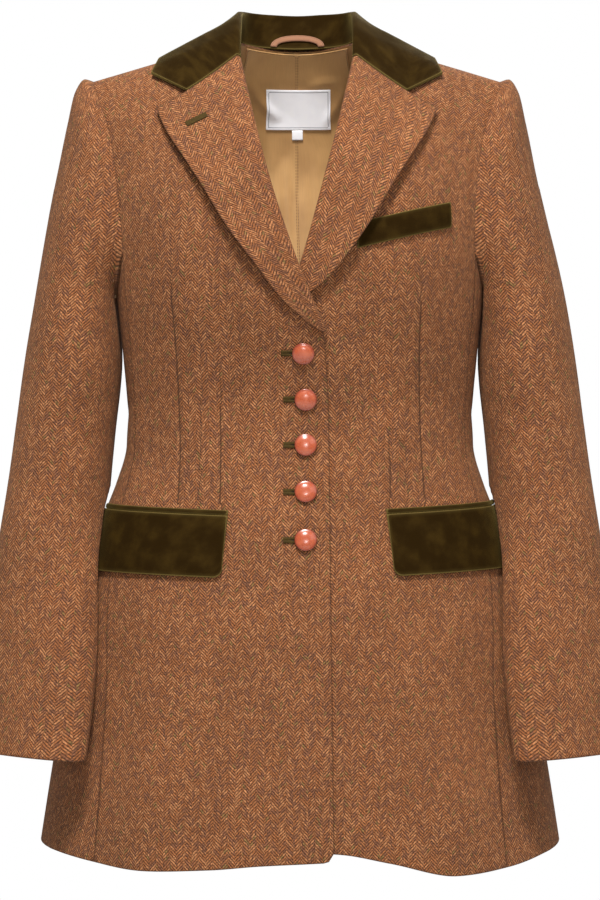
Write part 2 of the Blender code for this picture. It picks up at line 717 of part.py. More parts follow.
# ---------------------------------------------------------------- buttons and buttonholes
def button(name, place, facing, radius, depth, material, collection):
    """A turned button with a low dome, a rolled rim and a flat back."""
    profile = ((0, 1), (0.35, 0.97), (0.68, 0.80), (0.86, 0.58), (0.97, 0.52), (1, 0.34), (0.93, 0.10), (0, 0))
    steps = 16 if radius == BUTTON_RADIUS else 12
    mesh = bmesh.new()
    points = [mesh.verts.new((share * radius, 0, up * depth)) for share, up in profile]
    for near, far in zip(points, points[1:]):
        mesh.edges.new((near, far))
    spun = mesh.verts[:] + mesh.edges[:]
    turned = {"axis": (0, 0, 1), "cent": (0, 0, 0), "angle": math.tau, "steps": steps, "use_merge": True}
    bmesh.ops.spin(mesh, geom=spun, **turned)
    bmesh.ops.remove_doubles(mesh, verts=mesh.verts[:], dist=0.00005)
    bmesh.ops.recalc_face_normals(mesh, faces=mesh.faces[:])
    piece = add(name, mesh, material, collection)
    turn = Vector((0, 0, 1)).rotation_difference(facing)
    piece.matrix_world = Matrix.LocRotScale(place, turn, None)


def buttonhole(surface, first, last):
    """A narrow bound strip between two spots of a surface, each given as (a, b)."""
    first, last = Vector(first), Vector(last)
    facing = (surface(*first.lerp(last, 0.5), 0.001) - surface(*first.lerp(last, 0.5), 0.0)).normalized()
    up = facing.cross(surface(*last, 0.0) - surface(*first, 0.0)).normalized()

    def place(u, v):
        return surface(*first.lerp(last, u), HOLE_DEPTH + SEAM) + up * HOLE_WIDTH * (v - 0.5)

    return cloth(4, 1, place, HOLE_DEPTH)


def over_sleeve(side, along, turn, out):
    facing = normal_at(lambda a, t: sleeve_point(side, a, t * 100), along, turn / 100, 0.004) * -side
    return laid([faces_of[f"{SIDE_WORDS[side]}_upper_sleeve"]], sleeve_point(side, along, turn), facing, out)


def over_lapel(share, along, out):
    """A point over the right lapel."""
    facing = normal_at(lambda s, a: lapel_point(RIGHT, s, a), share, along, 0.004) * RIGHT
    return laid([faces_of["right_lapel"]], lapel_point(RIGHT, share, along), facing, out)


# ---------------------------------------------------------------- inside the neck
def neck_inside(x, height, out):
    """A point over the lining's inner face."""
    side = RIGHT if x < centre(height) else LEFT
    across = max(abs(x - centre(height)), 0.001)
    inward = normal_at(lambda a, h: body_point(side, a, h, False), across, height) * side
    linings = [faces_of["right_back_lining"], faces_of["left_back_lining"]]
    base = body_point(side, across, height, False) + Vector((x - centre(height) - side * across, 0, 0))
    return laid(linings, base + inward * 0.004, inward, out)


def label(low, high, columns):
    """A woven label between two corners, given as (x, height)."""

    def place(u, v):
        return neck_inside(mix(high[0], low[0], u), mix(low[1], high[1], v), RIBBON + 2 * SEAM)

    return cloth(columns, 2, lambda u, v: place(1 - u, v), RIBBON)


def hanger_loop():
    """A flat tape bowed over the collar's stand, with both ends at the neck seam."""
    half_span, rise, width = 0.0228, 0.0100, 0.0060

    def place(u, v):
        angle = math.pi * (1 - u)
        reach = 1 + (v - 0.5) * width / half_span
        lift = 1 + (v - 0.5) * width / rise
        x = half_span * reach * math.cos(angle)
        z = 0.0175 + rise * lift * math.sin(angle)
        facing = Vector((0, -1, 0.22)).normalized()
        return laid([faces_of["collar"]], Vector((x + centre(0) + 0.0005, 0.050, z)), facing, TAPE + SEAM)

    return cloth(12, 1, place, TAPE)


# ---------------------------------------------------------------- the coat
def build():
    for old in list(bpy.data.objects):
        bpy.data.objects.remove(old)
    coat = bpy.data.collections.new("frock_coat")
    bpy.context.scene.collection.children.link(coat)
    tweed = new_material("tweed", (0.36, 0.16, 0.07), 0.95)
    velvet = new_material("velvet", (0.06, 0.045, 0.012), 0.80)
    satin = new_material("lining_satin", (0.30, 0.20, 0.07), 0.40)
    coral = new_material("button_coral", (0.62, 0.16, 0.09), 0.25)
    binding = new_material("binding", (0.16, 0.12, 0.04), 0.80)
    woven = new_material("label_white", (0.85, 0.86, 0.90), 0.80)
    tape = new_material("loop_brown", (0.36, 0.17, 0.09), 0.60)

    for word, side in (("right", RIGHT), ("left", LEFT)):
        add(f"{word}_front", front_panel(side), tweed, coat)
        add(f"{word}_side", side_panel(side), tweed, coat)
        add(f"{word}_back", back_panel(side), tweed, coat)
        add(f"{word}_upper_sleeve", sleeve_half(side, True), tweed, coat)
        add(f"{word}_under_sleeve", sleeve_half(side, False), tweed, coat)
        add(f"{word}_lapel", lapel(side), tweed, coat)
        add(f"{word}_back_lining", lining(side), satin, coat)
        add(f"{word}_flap", flap(FLAPS[word]), velvet, coat)
        add(f"{word}_jetting", jetting(FLAPS[word]), velvet, coat)
        for number, along in enumerate(CUFF_BUTTON_ALONG, 1):
            turn = CUFF_BUTTON_DEGREES

            hole = buttonhole(partial(over_sleeve, side), (along, turn - 9), (along, turn + 19))
            add(f"{word}_cuff_buttonhole_{number}", hole, binding, coat)
            place = over_sleeve(side, along, turn, HOLE_DEPTH + SEAM * 2)
            facing = (place - over_sleeve(side, along, turn, 0.0)).normalized()
            name = f"{word}_cuff_button_{number}"
            button(name, place, facing, CUFF_BUTTON_RADIUS, CUFF_BUTTON_DEPTH, coral, coat)

    add("collar", collar(), velvet, coat)
    add("breast_welt", welt(), velvet, coat)
    over_right_front = partial(trim_point, "right_front", RIGHT)
    for number, (x, height) in enumerate(zip(FRONT_BUTTON_ACROSS, FRONT_BUTTON_HEIGHTS), 1):
        hole = buttonhole(over_right_front, (0.0205 - x, height), (-0.0030 - x, height))
        add(f"front_buttonhole_{number}", hole, binding, coat)
        place = over_right_front(-x, height, HOLE_DEPTH + SEAM * 2)
        facing = (place - over_right_front(-x, height, 0.0)).normalized()
        button(f"front_button_{number}", place, facing, BUTTON_RADIUS, BUTTON_DEPTH, coral, coat)
    add("lapel_buttonhole", buttonhole(over_lapel, (0.882, 0.838), (0.748, 0.846)), binding, coat)
    add("label", label((-0.0345, -0.0550), (0.0315, -0.0170), 8), woven, coat)
    add("size_tab", label((-0.0080, -0.0648), (0.0030, -0.0554), 1), woven, coat)
    add("hanger_loop", hanger_loop(), tape, coat)


build()
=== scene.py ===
"""The dressed scene of a single-breasted frock coat in herringbone tweed with velvet trims, as if worn.

Metres, +Z up. The front faces -Y and the wearer's right is -X. The origin is the middle of the shoulder line.
"Across" is the distance from the centre towards a panel's own side. Every cloth piece is laid on the same
form as its solid, with a finer mesh, its creases and its finish. The lapels also stand further off the chest
than their solids, and the right one's foot runs further down.
"""

from __future__ import annotations

import logging
import math
from bisect import bisect_right
from collections.abc import Callable, Iterable, Sequence
from dataclasses import dataclass, field
from enum import Enum
from typing import NamedTuple

import bmesh
import bpy
from mathutils import Matrix, Vector, noise
from mathutils.bvhtree import BVHTree


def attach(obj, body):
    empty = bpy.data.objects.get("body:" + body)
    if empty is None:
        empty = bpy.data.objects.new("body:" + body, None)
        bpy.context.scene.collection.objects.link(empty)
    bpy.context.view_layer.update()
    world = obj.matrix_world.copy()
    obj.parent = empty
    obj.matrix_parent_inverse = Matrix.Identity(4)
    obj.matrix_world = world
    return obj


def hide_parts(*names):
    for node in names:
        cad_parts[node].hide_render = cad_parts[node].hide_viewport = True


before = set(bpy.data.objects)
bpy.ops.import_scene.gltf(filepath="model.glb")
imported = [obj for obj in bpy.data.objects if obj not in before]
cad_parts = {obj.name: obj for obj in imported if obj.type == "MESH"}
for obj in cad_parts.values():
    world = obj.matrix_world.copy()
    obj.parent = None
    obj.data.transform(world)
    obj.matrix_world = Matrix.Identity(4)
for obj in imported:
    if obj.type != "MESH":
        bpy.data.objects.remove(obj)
log = logging.getLogger("frock_coat")

Place = Callable[[float, float], Vector]
Colour = tuple[float, float, float]
Pair = tuple[float, float]
Spot = tuple[float, float, float]
Socket = bpy.types.NodeSocket
Material = bpy.types.Material


class Side(Enum):
    """The wearer's right and left, as the sign of X."""

    RIGHT = -1
    LEFT = 1

    @property
    def word(self) -> str:
        """The side's name, as the nodes use it."""
        return self.name.lower()


class Held(Enum):
    """How a piece of cloth is held in the coat."""

    HUNG = "hung"
    LAID = "laid"
    FOLDED = "folded"


class Facing(Enum):
    """Which part of a tube of cloth a crease lies on."""

    FRONT = "front"
    BACK = "back"
    OUTER = "outer"


# ---------------------------------------------------------------- the form's tables
class BodyRing(NamedTuple):
    """One level section: half its width, its depth in front and behind, and how square it is."""

    height: float
    half_width: float
    front: float
    back: float
    squareness: float


BODY: tuple[BodyRing, ...] = (
    BodyRing(-0.760, 0.2490, 0.1650, 0.1690, 2.10),
    BodyRing(-0.665, 0.2345, 0.1500, 0.1520, 2.10),
    BodyRing(-0.600, 0.2245, 0.1400, 0.1400, 2.10),
    BodyRing(-0.532, 0.2125, 0.1300, 0.1280, 2.15),
    BodyRing(-0.470, 0.1975, 0.1190, 0.1150, 2.20),
    BodyRing(-0.430, 0.1850, 0.1110, 0.1040, 2.20),
    BodyRing(-0.400, 0.1735, 0.1040, 0.0940, 2.20),
    BodyRing(-0.372, 0.1655, 0.0990, 0.0860, 2.20),
    BodyRing(-0.340, 0.1635, 0.0970, 0.0820, 2.25),
    BodyRing(-0.285, 0.1675, 0.1060, 0.0920, 2.30),
    BodyRing(-0.228, 0.1740, 0.1170, 0.1040, 2.40),
    BodyRing(-0.190, 0.1790, 0.1200, 0.1095, 2.40),
    BodyRing(-0.140, 0.1860, 0.1160, 0.1120, 2.40),
    BodyRing(-0.080, 0.1970, 0.1060, 0.1100, 2.40),
    BodyRing(-0.020, 0.2120, 0.0960, 0.1060, 2.35),
    BodyRing(0.040, 0.2250, 0.0880, 0.1040, 2.30),
)


class Armhole(NamedTuple):
    """How far across the armhole seam lies at one height."""

    height: float
    across: float


ARMHOLE: tuple[Armhole, ...] = (
    Armhole(-0.2265, 0.1640),
    Armhole(-0.190, 0.1641),
    Armhole(-0.150, 0.1655),
    Armhole(-0.110, 0.1695),
    Armhole(-0.080, 0.1745),
    Armhole(-0.050, 0.1830),
    Armhole(-0.030, 0.1915),
    Armhole(-0.021, 0.1935),
)


class SideSeam(NamedTuple):
    """Degrees from the centre front to the two seams of the side panel."""

    height: float
    front: float
    back: float


SIDE_SEAMS: tuple[SideSeam, ...] = (
    SideSeam(-0.760, 48.5, 112.0),
    SideSeam(-0.600, 52.0, 113.0),
    SideSeam(-0.470, 61.0, 115.0),
    SideSeam(-0.340, 70.0, 117.0),
    SideSeam(-0.250, 68.0, 118.0),
    SideSeam(-0.190, 64.5, 116.0),
)


class FrontEdge(NamedTuple):
    """How far across a front's own edge lies; below the break it is the buttoned edge."""

    height: float
    across: float


FRONT_EDGE: tuple[FrontEdge, ...] = (
    FrontEdge(-0.760, -0.0310),
    FrontEdge(-0.520, -0.0285),
    FrontEdge(-0.340, -0.0264),
    FrontEdge(-0.268, -0.0223),
    FrontEdge(-0.236, -0.0090),
    FrontEdge(-0.188, 0.0085),
    FrontEdge(-0.140, 0.0232),
    FrontEdge(-0.095, 0.0353),
    FrontEdge(-0.045, 0.0470),
    FrontEdge(0.000, 0.0561),
    FrontEdge(0.019, 0.0580),
)


class HemRise(NamedTuple):
    """How far each front's hem lies above the plain hem, by degrees from the centre."""

    degrees: float
    right: float
    left: float


HEM_RISES: tuple[HemRise, ...] = (
    HemRise(-12, 0.0035, 0.0120),
    HemRise(0, 0.0010, 0.0110),
    HemRise(8, -0.0010, 0.0090),
    HemRise(18, -0.0050, 0.0010),
    HemRise(34, -0.0075, -0.0120),
    HemRise(50, -0.0030, -0.0080),
    HemRise(68, 0.0020, 0.0000),
    HemRise(90, 0.0055, 0.0055),
    HemRise(180, 0.0055, 0.0055),
)


class Fold(NamedTuple):
    """A standing fold: where it lies round the body, its width, how far it stands out, and its heights."""

    degrees: float
    spread: float
    out: float
    top: float
    foot: float


FOLDS: tuple[Fold, ...] = (
    Fold(36.0, 13.0, 0.0080, -0.460, -0.744),
    Fold(33.0, 16.0, 0.0050, -0.330, -0.150),
    Fold(80.0, 13.0, 0.0045, -0.520, -0.744),
    Fold(128.0, 13.0, 0.0060, -0.480, -0.744),
    Fold(155.0, 11.0, 0.0070, -0.460, -0.744),
)


class LapelRow(NamedTuple):
    """One section of the lapel: its roll line, its outer edge and how high it stands over the front."""

    along: float
    roll_height: float
    edge_across: float
    edge_height: float
    top: float
    edge_top: float


LAPEL: tuple[LapelRow, ...] = (
    LapelRow(0.00, -0.2425, -0.0050, -0.2355, 0.0040, 0.0040),
    LapelRow(0.12, -0.2075, 0.0200, -0.2180, 0.0048, 0.0056),
    LapelRow(0.25, -0.1780, 0.0440, -0.1915, 0.0060, 0.0078),
    LapelRow(0.40, -0.1510, 0.0660, -0.1625, 0.0072, 0.0082),
    LapelRow(0.55, -0.1195, 0.0840, -0.1325, 0.0078, 0.0080),
    LapelRow(0.70, -0.0845, 0.1020, -0.1040, 0.0080, 0.0074),
    LapelRow(0.85, -0.0480, 0.1175, -0.0790, 0.0080, 0.0066),
    LapelRow(1.00, -0.0080, 0.1285, -0.0560, 0.0080, 0.0062),
)


# The right lapel overlaps the left one, so its lower rows run on further down the front's edge
RIGHT_LAPEL_FOOT: tuple[LapelRow, ...] = (
    LapelRow(0.00, -0.2620, -0.0085, -0.2545, 0.0040, 0.0040),
    LapelRow(0.12, -0.2230, 0.0185, -0.2300, 0.0048, 0.0056),
    LapelRow(0.25, -0.1840, 0.0430, -0.1950, 0.0060, 0.0078),
    LapelRow(0.40, -0.1525, 0.0657, -0.1635, 0.0072, 0.0082),
)


class CollarRow(NamedTuple):
    """One section of the collar: foot, centre of the fold, leaf edge and the fold's top direction."""

    along: float
    foot: tuple[float, float, float]
    fold: tuple[float, float, float]
    edge: tuple[float, float, float]
    top: tuple[float, float, float]


COLLAR: tuple[CollarRow, ...] = (
    CollarRow(0.0, (0.0, 0.05, 0.0165), (0.0, 0.061, 0.046), (0.0, 0.08, -0.0095), (0, 0.15, 1)),
    CollarRow(0.2, (0.025, 0.0455, 0.017), (0.0265, 0.057, 0.0467), (0.04, 0.079, -0.0105), (0, 0.12, 1)),
    CollarRow(0.4, (0.045, 0.031, 0.018), (0.047, 0.043, 0.047), (0.083, 0.068, -0.014), (0.2, 0.1, 1)),
    CollarRow(0.55, (0.055, 0.01, 0.02), (0.0545, 0.022, 0.045), (0.116, 0.043, -0.0085), (0.35, 0, 1)),
    CollarRow(0.7, (0.0558, -0.011, 0.0192), (0.056, -0.004, 0.037), (0.129, 0.008, 0.0036), (0.4, -0.2, 1)),
    CollarRow(0.85, (0.056, -0.029, 0.0118), (0.056, -0.027, 0.023), (0.133, -0.025, -0.0062), (0.3, -0.5, 1)),
)


class SleeveRing(NamedTuple):
    """One ring of the sleeve: its edges, its middle from front to back, its turn and half its depth."""

    along: float
    outer: float
    outer_height: float
    inner: float
    inner_height: float
    middle: float
    turn: float
    half_depth: float


SLEEVE: tuple[SleeveRing, ...] = (
    SleeveRing(0.00, 0.1935, -0.0210, 0.1720, -0.2265, 0.0030, 0.0000, 0.0640),
    SleeveRing(0.05, 0.2020, -0.0185, 0.1720, -0.2270, 0.0030, 0.0000, 0.0650),
    SleeveRing(0.10, 0.2105, -0.0300, 0.1700, -0.2290, 0.0030, 0.0000, 0.0655),
    SleeveRing(0.16, 0.2175, -0.0600, 0.1690, -0.2320, 0.0030, 0.0000, 0.0660),
    SleeveRing(0.23, 0.2270, -0.1050, 0.1680, -0.2370, 0.0030, 0.0000, 0.0655),
    SleeveRing(0.31, 0.2395, -0.1630, 0.1670, -0.2460, 0.0030, 0.0000, 0.0645),
    SleeveRing(0.39, 0.2520, -0.2280, 0.1675, -0.2640, 0.0020, 0.0000, 0.0630),
    SleeveRing(0.47, 0.2620, -0.2900, 0.1700, -0.3050, 0.0000, 0.0000, 0.0595),
    SleeveRing(0.54, 0.2690, -0.3450, 0.1750, -0.3520, -0.0040, 0.0030, 0.0550),
    SleeveRing(0.61, 0.2755, -0.4000, 0.1795, -0.4060, -0.0130, 0.0070, 0.0500),
    SleeveRing(0.70, 0.2835, -0.4620, 0.1830, -0.4680, -0.0310, 0.0130, 0.0445),
    SleeveRing(0.80, 0.2925, -0.5300, 0.1875, -0.5370, -0.0530, 0.0200, 0.0385),
    SleeveRing(0.90, 0.3010, -0.5950, 0.1920, -0.6020, -0.0730, 0.0260, 0.0335),
    SleeveRing(1.00, 0.3085, -0.6470, 0.1975, -0.6545, -0.0890, 0.0300, 0.0300),
)

class Track:
    """A smooth line through pairs of numbers that never overshoots a pair."""

    def __init__(self, pairs: Iterable[Pair]) -> None:
        """Works out the slopes.

        Args:
            pairs: the place and the value there, in rising order of place.
        """
        self.places, self.values = (list(column) for column in zip(*pairs))
        gaps = zip(self.places, self.places[1:], self.values, self.values[1:])
        steps = [(b - a) / (q - p) for p, q, a, b in gaps]
        inner = [2 * a * b / (a + b) if a * b > 0 else 0.0 for a, b in zip(steps, steps[1:])]
        self.slopes = [steps[0], *inner, steps[-1]]

    @classmethod
    def of(cls, rows: Sequence[tuple], key: str, name: str) -> Track:
        """The line through one column of a table, against its key column."""
        return cls((getattr(row, key), getattr(row, name)) for row in rows)

    def __call__(self, at: float) -> float:
        """The value at one place."""
        at = min(max(at, self.places[0]), self.places[-1])
        i = min(bisect_right(self.places, at) - 1, len(self.places) - 2)
        width = self.places[i + 1] - self.places[i]
        t = (at - self.places[i]) / width
        near = (1 + 2 * t) * (1 - t) ** 2 * self.values[i] + t * t * (3 - 2 * t) * self.values[i + 1]
        return near + width * t * (1 - t) * ((1 - t) * self.slopes[i] - t * self.slopes[i + 1])


def ease(low: float, high: float, at: float) -> float:
    """0 below low, 1 above high and smooth between them."""
    t = min(max((at - low) / (high - low), 0.0), 1.0)
    return t * t * (3 - 2 * t)


def mix(a: float, b: float, share: float) -> float:
    """The number that lies that share of the way from a to b."""
    return a + (b - a) * share


@dataclass(frozen=True)
class CoatForm:
    """The form that every piece of the coat lies on, the same as the solids' own."""

    hem: float = -0.744
    neck_across: float = 0.058
    neck_height: float = 0.019
    neck_back_height: float = 0.0155
    neck_shift: float = -0.003
    nape_rise: float = 0.014
    tip_across: float = 0.1935
    tip_height: float = -0.021
    shoulder_round: float = 0.165
    junction: float = -0.190
    underarm: float = -0.2265
    underarm_round: float = 2.4
    lap: float = 0.0014
    lapel_tuck: float = 0.0050
    hem_rise_from: float = -0.560
    seam: float = 0.00035
    half_width: Track = field(default=Track.of(BODY, "height", "half_width"))
    front_depth: Track = field(default=Track.of(BODY, "height", "front"))
    back_depth: Track = field(default=Track.of(BODY, "height", "back"))
    squareness: Track = field(default=Track.of(BODY, "height", "squareness"))
    armhole_across: Track = field(default=Track.of(ARMHOLE, "height", "across"))
    front_seam: Track = field(default=Track.of(SIDE_SEAMS, "height", "front"))
    back_seam: Track = field(default=Track.of(SIDE_SEAMS, "height", "back"))
    front_edge: Track = field(default=Track.of(FRONT_EDGE, "height", "across"))
    hem_right: Track = field(default=Track.of(HEM_RISES, "degrees", "right"))
    hem_left: Track = field(default=Track.of(HEM_RISES, "degrees", "left"))

    def centre(self, height: float) -> float:
        """The neck and shoulders sit a little to the wearer's right of the skirt."""
        return self.neck_shift * ease(-0.240, -0.110, height)

    def ridge(self, across: float, front: bool) -> float:
        """Height of the shoulder line, rounded over inside the neck and higher there behind."""
        slope = (self.neck_height - self.tip_height) / (self.tip_across - self.neck_across)
        if abs(across) < self.neck_across:
            inside = 1 - (across / self.neck_across) ** 2
            nape = 0.0 if front else self.nape_rise * inside**2
            return self.neck_height + slope * self.neck_across / 2 * inside + nape
        return self.neck_height - slope * (abs(across) - self.neck_across)

    def fold_out(self, degrees: float, height: float) -> float:
        """How far the standing folds push the cloth out at one place."""
        out = 0.0
        for fold in FOLDS:
            share = math.exp(-(((abs(degrees) - fold.degrees) / fold.spread) ** 2))
            out += fold.out * share * ease(fold.top, fold.foot, height)
        return out

    def across_of(self, degrees: float, height: float) -> float:
        """How far across the body lies at one angle from the centre front."""
        return self.half_width(height) * abs(math.sin(math.radians(degrees))) ** (2 / self.squareness(height))

    def degrees_of(self, across: float, height: float) -> float:
        """The angle from the centre at which the body lies that far across."""
        share = min(abs(across) / self.half_width(height), 1.0)
        return math.degrees(math.asin(share ** (self.squareness(height) / 2)))

    def body_point(self, side: Side, across: float, height: float, front: bool, out: float = 0.0) -> Vector:
        """A point on the outside of the front or the back.

        Args:
            side: the panel's side.
            across: distance from the centre towards that side.
            height: height of the point.
            front: True for the front, False for the back.
            out: how far the cloth stands out there.

        Returns:
            The point.
        """
        drop = min(max(1 - (self.ridge(across, front) - height) / self.shoulder_round, 0.0), 1.0)
        square = self.squareness(height)
        share = min(abs(across) / self.half_width(height), 1.0)
        share = (1 - share**square) ** (1 / square) * math.sqrt(1 - drop * drop)
        degrees = self.degrees_of(across, height)
        degrees = degrees if front else 180 - degrees
        depth = (self.front_depth if front else self.back_depth)(height)
        depth = (depth + self.fold_out(degrees, height) + out) * share + 0.0002
        return Vector((self.centre(height) + side.value * across, -depth if front else depth, height))

    def side_point(self, side: Side, degrees: float, height: float) -> Vector:
        """A point on the outside of the side panel, given its degrees from the centre front."""
        square = self.squareness(height)
        turn = math.radians(degrees)
        depth = (self.front_depth if degrees < 90 else self.back_depth)(height)
        depth += self.fold_out(degrees, height)
        across = self.half_width(height) * math.sin(turn) ** (2 / square)
        back = -math.copysign(abs(math.cos(turn)) ** (2 / square), math.cos(turn)) * (depth + 0.0002)
        return Vector((self.centre(height) + side.value * across, back, height))

    def lapped(self, side: Side, across: float, height: float) -> float:
        """A front stands out where it laps over the other one, and over the other one's lapel."""
        near = 1 - ease(0.035, 0.085, abs(across))
        if side is Side.LEFT:
            return -self.lap * near
        over_lapel = self.lapel_tuck * ease(-0.300, -0.245, height) * (1 - ease(-0.190, -0.140, height))
        return (self.lap + over_lapel) * near

    def front_point(self, side: Side, across: float, height: float) -> Vector:
        """A point on the outside of one front."""
        return self.body_point(side, across, height, True, self.lapped(side, across, height))

    def over_front(self, side: Side, across: float, height: float, out: float) -> Vector:
        """A point moved out from a front, along the way the front faces."""
        facing = normal_at(lambda a, h: self.front_point(side, a, h), across, height) * side.value
        return self.front_point(side, across, height) + facing * out

    def armhole_point(self, side: Side, turn: float) -> Vector:
        """The armhole seam: 0 at the shoulder tip, 90 in front, 180 under the arm and 270 behind."""
        angle = math.radians(turn)
        height = mix(self.underarm, self.tip_height, (1 + math.cos(angle)) / 2)
        front = math.sin(angle) >= 0
        if height >= self.junction:
            return self.body_point(side, self.armhole_across(height), height, front)
        rise = (height - self.underarm) / (self.junction - self.underarm)
        share = max(rise, 0.0) ** (1 / self.underarm_round)
        seams = self.front_seam(self.junction), self.back_seam(self.junction)
        return self.side_point(side, mix(*seams, (1 - share if front else 1 + share) / 2), height)

    def hem_lifted(self, side: Side, across: float, degrees: float, height: float) -> Pair:
        """Across and height once the hem's rise is added, at the same angle round the body."""
        rise = (self.hem_right if side is Side.RIGHT else self.hem_left)(degrees)
        lifted = height + rise * (1 - ease(self.hem, self.hem_rise_from, height))
        return across * self.half_width(lifted) / self.half_width(height), lifted

    def back_top(self, across: float) -> float:
        """Height of the back's top edge: the back neck, then the shoulder."""
        if across < self.neck_across:
            return mix(self.neck_back_height, self.neck_height, (across / self.neck_across) ** 2)
        return self.ridge(across, False)


def normal_at(surface: Place, a: float, b: float, step: float = 0.0006) -> Vector:
    """Which way a surface faces, from points a short way either side."""
    along = surface(a + step, b) - surface(a - step, b)
    up = surface(a, b + step) - surface(a, b - step)
    return along.cross(up).normalized()


FORM = CoatForm()


# ---------------------------------------------------------------- creases
@dataclass(frozen=True)
class Crease:
    """A soft trough or ridge between two spots, which fades out at its ends.

    Front and back creases take spots as (x, height), outer ones as (y, height).
    """

    facing: Facing
    start: Pair
    end: Pair
    width: float
    out: float
    bow: float = 0.0

    def at(self, point: Vector, middle: float) -> float:
        """How far the crease moves the cloth out at a point.

        Args:
            point: a point of the cloth.
            middle: where the tube of cloth has its middle, from front to back.

        Returns:
            The distance, below 0 in a trough.
        """
        if self.facing is Facing.OUTER:
            spot = Vector((point.y, point.z))
        elif (point.y < middle) == (self.facing is Facing.FRONT):
            spot = Vector((point.x, point.z))
        else:
            return 0.0
        start, end = Vector(self.start), Vector(self.end)
        way, length = (end - start).normalized(), (end - start).length
        along = (spot - start).dot(way) / length
        if not -0.2 < along < 1.2:
            return 0.0
        share = min(max(along, 0.0), 1.0)
        off = (spot - start).cross(way) - self.bow * 4 * share * (1 - share)
        fade = ease(-0.2, 0.35, along) * (1 - ease(0.6, 1.2, along))
        return self.out * fade * math.exp(-((off / self.width) ** 2))


def creases(facing: Facing, *rows: tuple[float, ...]) -> tuple[Crease, ...]:
    """Creases from rows of numbers: the start, the end, the width, how far out and how far it bows."""
    return tuple(Crease(facing, row[:2], row[2:4], *row[4:]) for row in rows)


@dataclass(frozen=True)
class Relief:
    """What the form leaves out: the creases of one piece and the cloth's slight unevenness."""

    creases: tuple[Crease, ...] = ()
    uneven: float = 0.0004
    size: float = 0.075
    seed: float = 0.0
    middle: float = 0.0
    inward: bool = False

    def at(self, point: Vector) -> float:
        """How far out the cloth lies from the form at a point."""
        spot = Vector((point.x, point.y, point.z * 0.55)) / self.size + Vector((self.seed, 3.1, 7.7))
        out = noise.noise(spot) * self.uneven + sum(crease.at(point, self.middle) for crease in self.creases)
        return -abs(out) if self.inward else out


# ---------------------------------------------------------------- making cloth
class Bodies:
    """The finished outer faces, for other pieces to lie on."""

    trees: dict[str, BVHTree] = {}

    @classmethod
    def laid(cls, names: Iterable[str], point: Vector, facing: Vector, out: float) -> Vector:
        """A point above the outermost face of some finished pieces, straight out from a point of the form."""
        hits = [cls.trees[name].ray_cast(point + facing * 0.012, -facing, 0.030)[0] for name in names]
        found = [hit for hit in hits if hit]
        return max(found, key=lambda hit: hit.dot(facing), default=point) + facing * out


